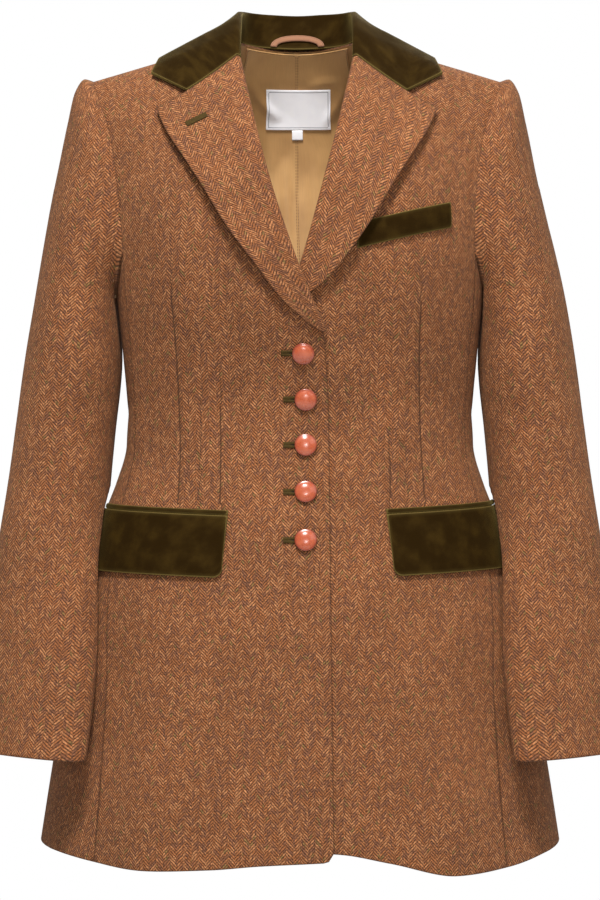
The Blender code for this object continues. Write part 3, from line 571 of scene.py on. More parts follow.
@dataclass
class ClothSheet:
    """A sheet of cloth: a fine grid whose outer face lies on the form, with a wall behind it.

    It carries its UV map in metres along the cloth, the distance to its nearest edge, and where a dart or
    seam runs the signed distance to that line.
    """

    node: str
    columns: int
    rows: int
    place: Place
    thickness: float
    relief: Relief | None = None
    across_from: Callable[[Vector], float] | None = None
    along_from: Callable[[Vector], float] | None = None
    across_is: Callable[[Vector], float] | None = None
    along_is: Callable[[Vector], float] | None = None
    level: bool = False
    line: Callable[[Vector], float] | None = None
    lined_above: float | None = None
    edge_round: float = 0.0006
    size: Pair = field(default=(0.0, 0.0), init=False)
    area: float = field(default=0.0, init=False)

    def _points(self) -> list[list[Vector]]:
        """The outer face's points, column by column."""
        rows = [j / self.rows for j in range(self.rows + 1)]
        return [[self.place(i / self.columns, v) for v in rows] for i in range(self.columns + 1)]

    @staticmethod
    def _facings(points: list[list[Vector]]) -> list[list[Vector]]:
        """Which way the cloth faces at each point of a grid."""
        last_i, last_j = len(points) - 1, len(points[0]) - 1
        facings = []
        for i in range(last_i + 1):
            column = []
            for j in range(last_j + 1):
                along = points[min(i + 1, last_i)][j] - points[max(i - 1, 0)][j]
                up = points[i][min(j + 1, last_j)] - points[i][max(j - 1, 0)]
                column.append(along.cross(up).normalized())
            facings.append(column)
        return facings

    def _lengths(self, points: list[list[Vector]]) -> tuple[list[list[float]], list[list[float]]]:
        """Distances along each row and up each column, from the grid's first corner."""
        span, rise = range(self.columns + 1), range(self.rows + 1)
        across = [[0.0] * (self.rows + 1) for _ in span]
        along = [[0.0] * (self.rows + 1) for _ in span]
        for i in span:
            for j in rise:
                if i:
                    step = points[i][j] - points[i - 1][j]
                    across[i][j] = across[i - 1][j] + (step.xy.length if self.level else step.length)
                if j:
                    along[i][j] = along[i][j - 1] + (points[i][j] - points[i][j - 1]).length
        return across, along

    def build(self) -> bmesh.types.BMesh:
        """Makes the sheet.

        Returns:
            A closed mesh, whose faces point outwards.
        """
        points = self._points()
        facings = self._facings(points)
        if self.relief:
            for column, ways in zip(points, facings):
                for j, (point, way) in enumerate(zip(column, ways)):
                    column[j] = point + way * self.relief.at(point)
            facings = self._facings(points)
        across, along = self._lengths(points)
        self.size = (max(across[-1]), max(column[-1] for column in along))

        mesh = bmesh.new()
        bmesh.ops.create_grid(mesh, x_segments=self.columns, y_segments=self.rows, size=0.5)
        edge = mesh.verts.layers.float.new("edge")
        line = mesh.verts.layers.float.new("line")
        uv = mesh.loops.layers.uv.new("cloth")
        outer = mesh.verts[:]
        made = bmesh.ops.extrude_face_region(mesh, geom=mesh.faces[:], use_keep_orig=True)["geom"]
        inner = {item for item in made if isinstance(item, bmesh.types.BMVert)}
        spots = {}
        for vert in mesh.verts:
            i = round((vert.co.x + 0.5) * self.columns)
            j = round((vert.co.y + 0.5) * self.rows)
            point = points[i][j]
            over = across[i][j] + (self.across_from(points[0][j]) if self.across_from else 0.0)
            up = along[i][j] + (self.along_from(points[i][0]) if self.along_from else 0.0)
            spots[vert] = (
                self.across_is(point) if self.across_is else over,
                self.along_is(point) if self.along_is else up,
            )
            sides = across[i][j], across[-1][j] - across[i][j], along[i][j], along[i][-1] - along[i][j]
            vert[edge] = min(sides)
            vert[line] = self.line(point) if self.line else 1.0
            vert.co = point - facings[i][j] * (self.thickness if vert in inner else 0.0)
        for face in mesh.faces:
            for loop in face.loops:
                loop[uv].uv = spots[loop.vert]
        bmesh.ops.recalc_face_normals(mesh, faces=mesh.faces[:])
        if mesh.calc_volume(signed=True) < 0:
            bmesh.ops.reverse_faces(mesh, faces=mesh.faces[:])
        kept = set(outer)
        self.area = sum(face.calc_area() for face in mesh.faces if all(vert in kept for vert in face.verts))
        if self.lined_above is not None:
            for face in mesh.faces:
                inside = all(vert in inner for vert in face.verts)
                if inside and face.calc_center_median().z > self.lined_above:
                    face.material_index = 1
        return mesh


def facing_out(side: Side, place: Place) -> Place:
    """The same sheet with u counted the other way on the wearer's right, so that it always faces out."""
    return place if side is Side.LEFT else lambda u, v: place(1 - u, v)


@dataclass
class Dresser:
    """Puts finished pieces in the scene in place of their solids.

    It's a stand-in for the two jettings, not a measure of them.
    """

    body: str = "root"
    least_cut: float = 0.011

    def piece(
        self, node: str, mesh: bmesh.types.BMesh, materials: Sequence[Material], slot: str
    ) -> bpy.types.Object:
        """Makes an object of a mesh, which stands for one node.

        Args:
            node: the solid that the piece replaces.
            mesh: the finished mesh, which is freed.
            materials: the piece's materials, in the order of its face numbers.
            slot: the record's material slot; not used.

        Returns:
            The new object.
        """
        Bodies.trees[node] = BVHTree.FromBMesh(mesh)
        data = bpy.data.meshes.new(f"{node}_cloth")
        mesh.to_mesh(data)
        mesh.free()
        data.shade_smooth()
        for material in materials:
            data.materials.append(material)
        made = bpy.data.objects.new(f"dressed_{node}", data)
        bpy.context.scene.collection.objects.link(made)
        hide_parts(node)
        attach(made, self.body)
        return made

    def cloth(
        self,
        sheet: ClothSheet,
        materials: Sequence[Material],
        slot: str,
        held: Held,
        rests_on: Sequence[str] = (),
    ) -> bpy.types.Object:
        """Args:
            sheet: the sheet to build.
            materials: its outer material, then its inner one if it is lined.
            slot: the record's material slot; not used.
            held: how the cloth is held; not used.
            rests_on: the nodes it lies on; not used.

        Returns:
            The new object.
        """
        mesh = sheet.build()
        made = self.piece(sheet.node, mesh, materials, slot)
        if sheet.edge_round:
            bevel = made.modifiers.new("edge", "BEVEL")
            bevel.width = sheet.edge_round
            bevel.segments = 2
            bevel.limit_method = "ANGLE"
            bevel.angle_limit = math.radians(62)
            bevel.use_clamp_overlap = True
        width, length = (max(size, self.least_cut) for size in sheet.size)
        area = min(sheet.area, width * length)
        list(rests_on)
        log.info("%s: %.0f x %.0f mm of cloth", sheet.node, width * 1000, length * 1000)
        return made


# ---------------------------------------------------------------- shader groups
class Nodes:
    """A short way to place and join shader nodes in one tree."""

    def __init__(self, tree: bpy.types.NodeTree) -> None:
        """Takes the tree to work in."""
        self.tree = tree

    def add(self, kind: str, **settings: object) -> bpy.types.Node:
        """Places a node and gives it its settings."""
        node = self.tree.nodes.new(kind)
        for name, value in settings.items():
            setattr(node, name, value)
        return node

    def join(self, source: object, target: Socket) -> None:
        """Feeds a socket from another socket, or sets it to a plain value."""
        if isinstance(source, Socket):
            self.tree.links.new(source, target)
        else:
            target.default_value = source

    def feed(self, node: bpy.types.Node, inputs: dict[str, object]) -> None:
        """Feeds or sets a node's inputs by name."""
        for name, source in inputs.items():
            self.join(source, node.inputs[name])

    def times(self, first: object, second: object) -> Socket:
        """The product of two values."""
        return self.math("MULTIPLY", first, second)

    def math(self, operation: str, *values: object, clamp: bool = False) -> Socket:
        """One sum of up to three values."""
        node = self.add("ShaderNodeMath", operation=operation, use_clamp=clamp)
        for value, socket in zip(values, node.inputs):
            self.join(value, socket)
        return node.outputs[0]

    def smooth(self, low: float, high: float, value: object, into: Pair = (0.0, 1.0)) -> Socket:
        """A smooth step of a value, from low to high."""
        node = self.add("ShaderNodeMapRange", interpolation_type="SMOOTHSTEP")
        for source, name in ((value, "Value"), (low, "From Min"), (high, "From Max")):
            self.join(source, node.inputs[name])
        self.join(into[0], node.inputs["To Min"])
        self.join(into[1], node.inputs["To Max"])
        return node.outputs[0]

    def noise(self, vector: object, scale: float, detail: float = 2.0, roughness: float = 0.5) -> Socket:
        """A noise's value, with its scale in waves per metre."""
        node = self.add("ShaderNodeTexNoise")
        self.join(vector, node.inputs["Vector"])
        for name, value in (("Scale", scale), ("Detail", detail), ("Roughness", roughness)):
            node.inputs[name].default_value = value
        return node.outputs["Fac"]

    def blend(self, factor: object, first: object, second: object, way: str = "MIX") -> Socket:
        """A mix of two colours."""
        node = self.add("ShaderNodeMix", data_type="RGBA", blend_type=way)
        self.join(factor, node.inputs[0])
        for value, index in ((first, 6), (second, 7)):
            self.join((*value, 1.0) if isinstance(value, tuple) else value, node.inputs[index])
        return node.outputs[2]

    def attribute(self, name: str) -> Socket:
        """A number that the piece carries at its points."""
        return self.add("ShaderNodeAttribute", attribute_name=name).outputs["Fac"]

    def uv(self) -> Socket:
        """The piece's own map, in metres along the cloth."""
        return self.add("ShaderNodeUVMap", uv_map="cloth").outputs[0]

    def place(self) -> Socket:
        """The place on the object, in metres."""
        return self.add("ShaderNodeTexCoord").outputs["Object"]

    def group(self, tree: bpy.types.NodeTree, **inputs: object) -> dict[str, Socket]:
        """Places a node group, with its inputs by name, and gives its outputs by name."""
        node = self.add("ShaderNodeGroup", node_tree=tree)
        for name, value in inputs.items():
            self.join(value, node.inputs[name])
        return {socket.name: socket for socket in node.outputs}


def new_group(
    name: str, inputs: dict[str, object], outputs: dict[str, str]
) -> tuple[bpy.types.NodeTree, Nodes, dict, dict]:
    """Starts a shader node group.

    Args:
        name: the group's name.
        inputs: default value by input name; None is a vector.
        outputs: Float or Color by output name.

    Returns:
        The group, its node helper, its input sockets by name and its output sockets by name.
    """
    tree = bpy.data.node_groups.new(name, "ShaderNodeTree")
    for label, value in inputs.items():
        kind = "NodeSocketVector" if value is None else "NodeSocketFloat"
        socket = tree.interface.new_socket(name=label, in_out="INPUT", socket_type=kind)
        if value is not None:
            socket.default_value = value
    for label, kind in outputs.items():
        tree.interface.new_socket(name=label, in_out="OUTPUT", socket_type=f"NodeSocket{kind}")
    nodes = Nodes(tree)
    start, end = nodes.add("NodeGroupInput"), nodes.add("NodeGroupOutput")
    return tree, nodes, {s.name: s for s in start.outputs}, {s.name: s for s in end.inputs}


def herringbone_group() -> bpy.types.NodeTree:
    """A twill that turns round at each column: its ribs, one number per float of yarn, and its height."""
    tree, n, given, out = new_group(
        "herringbone",
        {"Vector": None, "Column": 0.0088, "Pitch": 0.0020, "Steep": 1.05, "Wander": 0.0003, "Floats": 2.6},
        {"Rib": "Float", "Yarn": "Float", "Dash": "Float", "Height": "Float"},
    )
    wander = n.add("ShaderNodeTexNoise")
    n.join(given["Vector"], wander.inputs["Vector"])
    wander.inputs["Scale"].default_value = 260
    shift = n.add("ShaderNodeVectorMath", operation="SUBTRACT")
    n.join(wander.outputs["Color"], shift.inputs[0])
    shift.inputs[1].default_value = (0.5, 0.5, 0.5)
    scaled = n.add("ShaderNodeVectorMath", operation="SCALE")
    n.join(shift.outputs[0], scaled.inputs[0])
    n.join(n.times(given["Wander"], 3.0), scaled.inputs["Scale"])
    moved = n.add("ShaderNodeVectorMath", operation="ADD")
    n.join(given["Vector"], moved.inputs[0])
    n.join(scaled.outputs[0], moved.inputs[1])
    parts = n.add("ShaderNodeSeparateXYZ")
    n.join(moved.outputs[0], parts.inputs[0])
    across, up = parts.outputs[0], parts.outputs[1]
    column = n.math("FLOOR", n.math("DIVIDE", across, given["Column"]))
    zigzag = n.times(n.math("PINGPONG", across, given["Column"]), given["Steep"])
    offset = n.times(column, n.times(given["Pitch"], 0.5))
    lines = n.math("DIVIDE", n.math("ADD", n.math("ADD", up, zigzag), offset), given["Pitch"])
    wave = n.math("SINE", n.times(lines, math.tau))
    rib = n.math("MULTIPLY_ADD", wave, 0.5, 0.5)
    float_line = n.math("FLOOR", n.math("ADD", lines, 0.25))
    start = n.add("ShaderNodeTexWhiteNoise", noise_dimensions="1D")
    n.join(n.math("MULTIPLY_ADD", column, 17.0, float_line), start.inputs["W"])
    length = n.math("DIVIDE", across, n.math("DIVIDE", given["Column"], given["Floats"]))
    dash = n.math("FLOOR", n.math("MULTIPLY_ADD", start.outputs["Value"], 5.0, length))
    cell = n.add("ShaderNodeCombineXYZ")
    n.join(float_line, cell.inputs[0])
    n.join(dash, cell.inputs[1])
    n.join(column, cell.inputs[2])
    yarn = n.add("ShaderNodeTexWhiteNoise", noise_dimensions="3D")
    n.join(cell.outputs[0], yarn.inputs["Vector"])
    n.join(rib, out["Rib"])
    n.join(yarn.outputs["Value"], out["Yarn"])
    colour = n.add("ShaderNodeSeparateColor")
    n.join(yarn.outputs["Color"], colour.inputs[0])
    n.join(colour.outputs[1], out["Dash"])
    n.join(n.math("ADD", rib, n.times(n.noise(given["Vector"], 1500, 2), 0.6)), out["Height"])
    return tree


def seam_line_group() -> bpy.types.NodeTree:
    """A mask along a seam, an edge or a drawn line, from the distance to it: a thin line and the dip on both
    sides; the finishes use it for painted shade, painted sheen and print.
    """
    tree, n, given, out = new_group(
        "seam_line", {"Distance": 1.0, "Line": 0.0007, "Dip": 0.004}, {"Line": "Float", "Dip": "Float"}
    )
    far = n.math("ABSOLUTE", given["Distance"])
    n.join(n.smooth(0.0, 1.0, n.math("DIVIDE", far, given["Line"]), (1.0, 0.0)), out["Line"])
    n.join(n.smooth(0.0, 1.0, n.math("DIVIDE", far, given["Dip"]), (1.0, 0.0)), out["Dip"])
    return tree


def mottle_group() -> bpy.types.NodeTree:
    """Slow and quick changes of tone over a surface, both round 0.5."""
    tree, n, given, out = new_group(
        "mottle", {"Vector": None, "Slow": 18.0, "Quick": 900.0}, {"Slow": "Float", "Quick": "Float"}
    )
    for name, detail in (("Slow", 3.0), ("Quick", 2.0)):
        made = n.add("ShaderNodeTexNoise")
        n.join(given["Vector"], made.inputs["Vector"])
        n.join(given[name], made.inputs["Scale"])
        made.inputs["Detail"].default_value = detail
        n.join(made.outputs["Fac"], out[name])
    return tree


def stitch_group() -> bpy.types.NodeTree:
    """A row of stitches along an edge: a mask of its threads and their height."""
    tree, n, given, out = new_group(
        "stitches",
        {"Distance": 1.0, "Along": 0.0, "Inset": 0.0016, "Pitch": 0.0032, "Thread": 0.0005},
        {"Mask": "Float"},
    )
    off = n.math("ABSOLUTE", n.math("SUBTRACT", given["Distance"], given["Inset"]))
    width = n.smooth(0.0, 1.0, n.math("DIVIDE", off, given["Thread"]), (1.0, 0.0))
    beat = n.math("FRACT", n.math("DIVIDE", given["Along"], given["Pitch"]))
    dash = n.smooth(0.30, 0.42, n.math("ABSOLUTE", n.math("SUBTRACT", beat, 0.5)), (1.0, 0.0))
    n.join(n.times(width, dash), out["Mask"])
    return tree


@dataclass(frozen=True)
class ShaderKit:
    """The effects that more than one finish uses, each built once."""

    herringbone: bpy.types.NodeTree
    seam_line: bpy.types.NodeTree
    mottle: bpy.types.NodeTree
    stitches: bpy.types.NodeTree

    @classmethod
    def build(cls) -> ShaderKit:
        """Builds the node groups."""
        return cls(herringbone_group(), seam_line_group(), mottle_group(), stitch_group())


def start_material(name: str) -> tuple[Material, Nodes, bpy.types.Node]:
    """A new material with its node helper and its shader."""
    material = bpy.data.materials.new(name)
    material.use_nodes = True
    tree = material.node_tree
    return material, Nodes(tree), tree.nodes["Principled BSDF"]


def add_bump(n: Nodes, shader: bpy.types.Node, height: object, distance: float, strength: float) -> None:
    """Feeds a shader's normal from a height in metres times the distance."""
    bump = n.add("ShaderNodeBump")
    bump.inputs["Strength"].default_value = strength
    bump.inputs["Distance"].default_value = distance
    n.join(height, bump.inputs["Height"])
    n.join(bump.outputs[0], shader.inputs["Normal"])


# ---------------------------------------------------------------- finishes
@dataclass(frozen=True)
class HerringboneTweed:
    """Woollen herringbone: warm brown floats with light and mauve floats and a few ochre flecks, with painted
    shade in the grooves between its ribs and along its darts and edges.
    """

    name: str = "herringbone_tweed"
    ground: Colour = (0.216, 0.076, 0.025)
    light: Colour = (0.305, 0.129, 0.052)
    mauve: Colour = (0.152, 0.060, 0.029)
    # painted shade: the dark colour of the rib grooves and of the lines along the darts and edges
    dark: Colour = (0.040, 0.015, 0.006)
    fleck: Colour = (0.165, 0.092, 0.030)
    column: float = 0.0066
    pitch: float = 0.0031
    fuzz: float = 0.08

    def material(self, kit: ShaderKit) -> Material:
        """Builds the material."""
        made, n, shader = start_material(self.name)
        uv = n.uv()
        weave = n.group(kit.herringbone, Vector=uv, Column=self.column, Pitch=self.pitch)
        tone = n.group(kit.mottle, Vector=uv, Slow=16.0, Quick=640.0)
        yarn, dash = weave["Yarn"], weave["Dash"]
        colour = n.blend(n.smooth(0.50, 0.95, yarn), self.ground, self.light)
        colour = n.blend(n.smooth(0.40, 0.10, yarn), colour, self.mauve)
        colour = n.blend(n.math("GREATER_THAN", dash, 0.975), colour, self.fleck)
        # painted shade: the grooves between the twill's ribs are darkened
        groove_shade = n.smooth(0.70, 0.12, weave["Rib"])
        colour = n.blend(n.times(groove_shade, 0.78), colour, self.dark)
        fibre = n.smooth(0.25, 0.75, tone["Quick"], (0.50, 1.70))
        slow = n.smooth(0.25, 0.75, tone["Slow"], (0.90, 1.08))
        colour = n.blend(1.0, colour, n.times(fibre, slow), "MULTIPLY")
        # painted shade: dark lines along the darts and along every edge of the piece
        seam = n.group(kit.seam_line, Distance=n.attribute("line"), Line=0.0013, Dip=0.0050)
        edge = n.group(kit.seam_line, Distance=n.attribute("edge"), Line=0.0017, Dip=0.0040)
        seam_shade = n.math("ADD", seam["Line"], n.times(edge["Line"], 0.80), clamp=True)
        colour = n.blend(n.times(seam_shade, 0.85), colour, self.dark)
        inputs = {
            "Base Color": colour,
            "Roughness": n.smooth(0.0, 1.0, weave["Rib"], (0.97, 0.86)),
            "Specular IOR Level": 0.25,
            "Sheen Weight": self.fuzz,
            "Sheen Roughness": 0.55,
            "Sheen Tint": (0.95, 0.55, 0.30, 1.0),
        }
        n.feed(shader, inputs)
        dips = n.math("ADD", n.times(seam["Dip"], 2.4), seam["Line"])
        height = n.math("SUBTRACT", weave["Height"], n.times(dips, 1.1))
        add_bump(n, shader, height, 0.00042, 0.85)
        return made


@dataclass(frozen=True)
class CottonVelvet:
    """Olive velvet: a dark pile with a light sheen, brushed in patches, and a painted sheen along its edges.
    """

    name: str = "olive_velvet"
    pile: Colour = (0.0145, 0.0068, 0.0003)
    brushed: Colour = (0.052, 0.029, 0.0036)
    # painted sheen: the light colour along the velvet's edges
    rubbed: Colour = (0.150, 0.108, 0.032)
    sheen: float = 0.19
    rub_width: float = 0.0015

    def material(self, kit: ShaderKit) -> Material:
        """Builds the material."""
        made, n, shader = start_material(self.name)
        uv = n.uv()
        tone = n.group(kit.mottle, Vector=uv, Slow=46.0, Quick=2200.0)
        # painted sheen: a light line along every edge of the piece
        sheen_line = n.group(kit.seam_line, Distance=n.attribute("edge"), Line=self.rub_width, Dip=0.0045)
        nap = n.smooth(0.40, 0.72, tone["Slow"])
        colour = n.blend(n.times(nap, 0.38), self.pile, self.brushed)
        edge_sheen_mask = n.math("MULTIPLY_ADD", sheen_line["Line"], 0.60, n.times(sheen_line["Dip"], 0.10))
        colour = n.blend(edge_sheen_mask, colour, self.rubbed)
        tuft = n.smooth(0.25, 0.75, tone["Quick"], (0.65, 1.35))
        colour = n.blend(1.0, colour, tuft, "MULTIPLY")
        inputs = {
            "Base Color": colour,
            "Roughness": n.smooth(0.3, 0.7, tone["Slow"], (0.92, 0.78)),
            "Specular IOR Level": 0.05,
            "Sheen Weight": self.sheen,
            "Sheen Roughness": 0.32,
            "Sheen Tint": (0.80, 0.62, 0.20, 1.0),
        }
        n.feed(shader, inputs)
        add_bump(n, shader, n.math("ADD", tone["Quick"], n.times(nap, 0.5)), 0.00030, 0.7)
        return made


@dataclass(frozen=True)
class LiningSatin:
    """Bronze satin with fine cords up the cloth and a row of stitches beside its seam."""

    name: str = "lining_satin"
    satin: Colour = (0.500, 0.285, 0.104)
    shade: Colour = (0.340, 0.180, 0.060)
    thread: Colour = (0.110, 0.055, 0.020)
    stitch_inset: float = 0.0012

    def material(self, kit: ShaderKit) -> Material:
        """Builds the material."""
        made, n, shader = start_material(self.name)
        uv = n.uv()
        parts = n.add("ShaderNodeSeparateXYZ")
        n.join(uv, parts.inputs[0])
        tone = n.group(kit.mottle, Vector=uv, Slow=14.0, Quick=1400.0)
        cord = n.math("SINE", n.times(parts.outputs[0], math.tau / 0.0007))
        slub = n.add("ShaderNodeMapping")
        slub.inputs["Scale"].default_value = (1.0, 0.06, 1.0)
        n.join(uv, slub.inputs["Vector"])
        streak = n.noise(slub.outputs[0], 900, 3)
        colour = n.blend(n.smooth(0.35, 0.70, tone["Slow"]), self.satin, self.shade)
        colour = n.blend(1.0, colour, n.smooth(0.25, 0.75, streak, (0.95, 1.05)), "MULTIPLY")
        edge, along = n.attribute("edge"), parts.outputs[1]
        row = n.group(kit.stitches, Distance=edge, Along=along, Inset=self.stitch_inset, Pitch=0.0030)
        colour = n.blend(row["Mask"], colour, self.thread)
        inputs = {
            "Base Color": colour,
            "Roughness": n.smooth(0.3, 0.7, streak, (0.55, 0.62)),
            "Sheen Weight": 0.15,
        }
        n.feed(shader, inputs)
        height = n.math("ADD", n.times(cord, 0.10), n.times(row["Mask"], 2.0))
        add_bump(n, shader, height, 0.00010, 0.6)
        return made


@dataclass(frozen=True)
class CoralButton:
    """Glossy coral with a faint marbling, and painted shade that darkens it towards its rim."""

    name: str = "button_coral"
    face: Colour = (0.370, 0.072, 0.026)
    # painted shade: the colour that darkens the button towards its rim
    deep: Colour = (0.170, 0.022, 0.008)
    pale: Colour = (0.500, 0.135, 0.062)

    def material(self, kit: ShaderKit) -> Material:
        """Builds the material."""
        made, n, shader = start_material(self.name)
        tone = n.group(kit.mottle, Vector=n.place(), Slow=150.0, Quick=2600.0)
        # painted shade towards the rim, where the dome turns away from the light
        rim = n.group(kit.seam_line, Distance=n.attribute("edge"), Line=0.0009, Dip=0.0028)
        colour = n.blend(n.smooth(0.40, 0.75, tone["Slow"], (0.0, 0.45)), self.face, self.pale)
        colour = n.blend(n.times(rim["Dip"], 0.80), colour, self.deep)
        inputs = {
            "Base Color": colour,
            "Roughness": n.smooth(0.3, 0.8, tone["Slow"], (0.26, 0.32)),
            "Coat Weight": 0.30,
            "Coat Roughness": 0.16,
            "Subsurface Weight": 0.08,
            "Subsurface Radius": (0.003, 0.001, 0.0006),
        }
        n.feed(shader, inputs)
        return made


@dataclass(frozen=True)
class HoleBinding:
    """A bound buttonhole: two olive lips, ribbed across, and a painted shadow along the slit between them."""

    name: str = "buttonhole_binding"
    lip: Colour = (0.034, 0.019, 0.002)
    rib: Colour = (0.082, 0.050, 0.007)
    # painted shadow: the colour of the slit, which is drawn on the closed binding
    slit: Colour = (0.010, 0.007, 0.004)
    rib_width: float = 0.0009

    def material(self, kit: ShaderKit) -> Material:
        """Builds the material."""
        made, n, shader = start_material(self.name)
        parts = n.add("ShaderNodeSeparateXYZ")
        n.join(n.uv(), parts.inputs[0])
        tone = n.group(kit.mottle, Vector=n.uv(), Slow=220.0, Quick=2400.0)
        wave = n.math("SINE", n.times(parts.outputs[0], math.tau / self.rib_width))
        ribs = n.math("MULTIPLY_ADD", wave, 0.5, 0.5)
        # painted shadow along the slit, which is not cut open
        slit = n.group(kit.seam_line, Distance=n.attribute("line"), Line=0.0009, Dip=0.0016)
        colour = n.blend(n.times(ribs, 0.6), self.lip, self.rib)
        colour = n.blend(1.0, colour, n.smooth(0.25, 0.75, tone["Slow"], (0.75, 1.2)), "MULTIPLY")
        colour = n.blend(slit["Line"], colour, self.slit)
        inputs = {
            "Base Color": colour,
            "Roughness": n.smooth(0.3, 0.7, tone["Quick"], (0.70, 0.90)),
            "Specular IOR Level": 0.2,
        }
        n.feed(shader, inputs)
        height = n.math("SUBTRACT", ribs, n.times(slit["Dip"], 3.0))
        add_bump(n, shader, height, 0.00018, 0.8)
        return made


@dataclass(frozen=True)
class WovenTape:
    """A plainly woven ribbon or tape, with its fine ribs, a border line and stitches where it has them."""

    name: str
    ground: Colour
    rib: Colour
    border: Colour
    border_inset: float = 1.0
    stitch_inset: float = 1.0
    rib_width: float = 0.0006

    def material(self, kit: ShaderKit) -> Material:
        """Builds the material."""
        made, n, shader = start_material(self.name)
        parts = n.add("ShaderNodeSeparateXYZ")
        n.join(n.uv(), parts.inputs[0])
        tone = n.group(kit.mottle, Vector=n.uv(), Slow=90.0, Quick=2600.0)
        across = n.math("SINE", n.times(parts.outputs[0], math.tau / self.rib_width))
        up = n.math("SINE", n.times(parts.outputs[1], math.tau / self.rib_width))
        woven = n.math("MULTIPLY_ADD", n.times(across, up), 0.5, 0.5)
        colour = n.blend(n.times(woven, 0.5), self.ground, self.rib)
        colour = n.blend(1.0, colour, n.smooth(0.3, 0.7, tone["Slow"], (0.98, 1.02)), "MULTIPLY")
        edge = n.attribute("edge")
        frame_off = n.math("SUBTRACT", edge, self.border_inset)
        border = n.group(kit.seam_line, Distance=frame_off, Line=0.0006, Dip=0.001)
        colour = n.blend(border["Line"], colour, self.border)
        along = parts.outputs[1]
        row = n.group(kit.stitches, Distance=edge, Along=along, Inset=self.stitch_inset, Pitch=0.0022)
        colour = n.blend(n.times(row["Mask"], 0.8), colour, self.border)
        inputs = {
            "Base Color": colour,
            "Roughness": n.smooth(0.3, 0.7, tone["Quick"], (0.62, 0.82)),
            "Sheen Weight": 0.12,
        }
        n.feed(shader, inputs)
        add_bump(n, shader, n.math("ADD", woven, row["Mask"]), 0.00010, 0.6)
        return made


@dataclass(frozen=True)
class StudioFloor:
    """The pale, slightly uneven floor."""

    name: str = "studio_floor"
    tone: float = 0.86

    def material(self, kit: ShaderKit) -> Material:
        """Builds the material."""
        made, n, shader = start_material(self.name)
        tone = n.group(kit.mottle, Vector=n.place(), Slow=1.5, Quick=60.0)
        shade = n.smooth(0.2, 0.8, tone["Slow"], (self.tone, self.tone + 0.03))
        inputs = {
            "Base Color": shade,
            "Roughness": 0.75,
        }
        n.feed(shader, inputs)
        return made


@dataclass(frozen=True)
class Finishes:
    """Every finish of the coat."""

    tweed: Material
    velvet: Material
    satin: Material
    coral: Material
    binding: Material
    label: Material
    tab: Material
    tape: Material
    floor: Material

    @classmethod
    def build(cls) -> Finishes:
        """Builds the node groups, then each material."""
        kit = ShaderKit.build()
        white, bright, ink = (0.93, 0.95, 1.00), (0.97, 0.98, 1.00), (0.16, 0.17, 0.21)
        label = WovenTape("label_white", white, bright, ink, 0.0024)
        tab = WovenTape("tab_white", white, bright, ink)
        brown = (0.230, 0.095, 0.042), (0.330, 0.145, 0.068), (0.10, 0.04, 0.02)
        tape = WovenTape("loop_brown", *brown, stitch_inset=0.0009)
        cloths = (HerringboneTweed(), CottonVelvet(), LiningSatin())
        kinds = (*cloths, CoralButton(), HoleBinding(), label, tab, tape, StudioFloor())
        return cls(*(kind.material(kit) for kind in kinds))


# ---------------------------------------------------------------- body
LOW_ROWS, HIGH_ROWS = 14, 9


def row_share(v: float) -> Pair:
    """Splits a panel's height at the bottom of the armhole: 0 to 1 below it, then 0 to 1 above it."""
    row = v * (LOW_ROWS + HIGH_ROWS)
    low, high = min(row / LOW_ROWS, 1.0), max((row - LOW_ROWS) / HIGH_ROWS, 0.0)
    return low, 1 - (1 - high) ** 2


def dart_line(side: Side, spots: Sequence[Pair], middle: float = 0.0) -> Callable[[Vector], float]:
    """The signed distance to a dart or seam that is drawn on the front or back.

    Args:
        side: the side that it lies on.
        spots: its (across, height) from the foot up.
        middle: only points in front of this are near it.

    Returns:
        A function of a point, in metres; far from the line's ends it grows.
    """
    across = Track((height, place) for place, height in spots)
    low, high = spots[0][1], spots[-1][1]

    def distance(point: Vector) -> float:
        if point.y > middle:
            return 1.0
        off = point.x * side.value - across(point.z)
        past = max(low - point.z, point.z - high, 0.0)
        return math.copysign(math.hypot(off, past), off)

    return distance


def nearest(*lines: Callable[[Vector], float]) -> Callable[[Vector], float]:
    """The signed distance to the nearest of several lines."""
    return lambda point: min((line(point) for line in lines), key=abs)


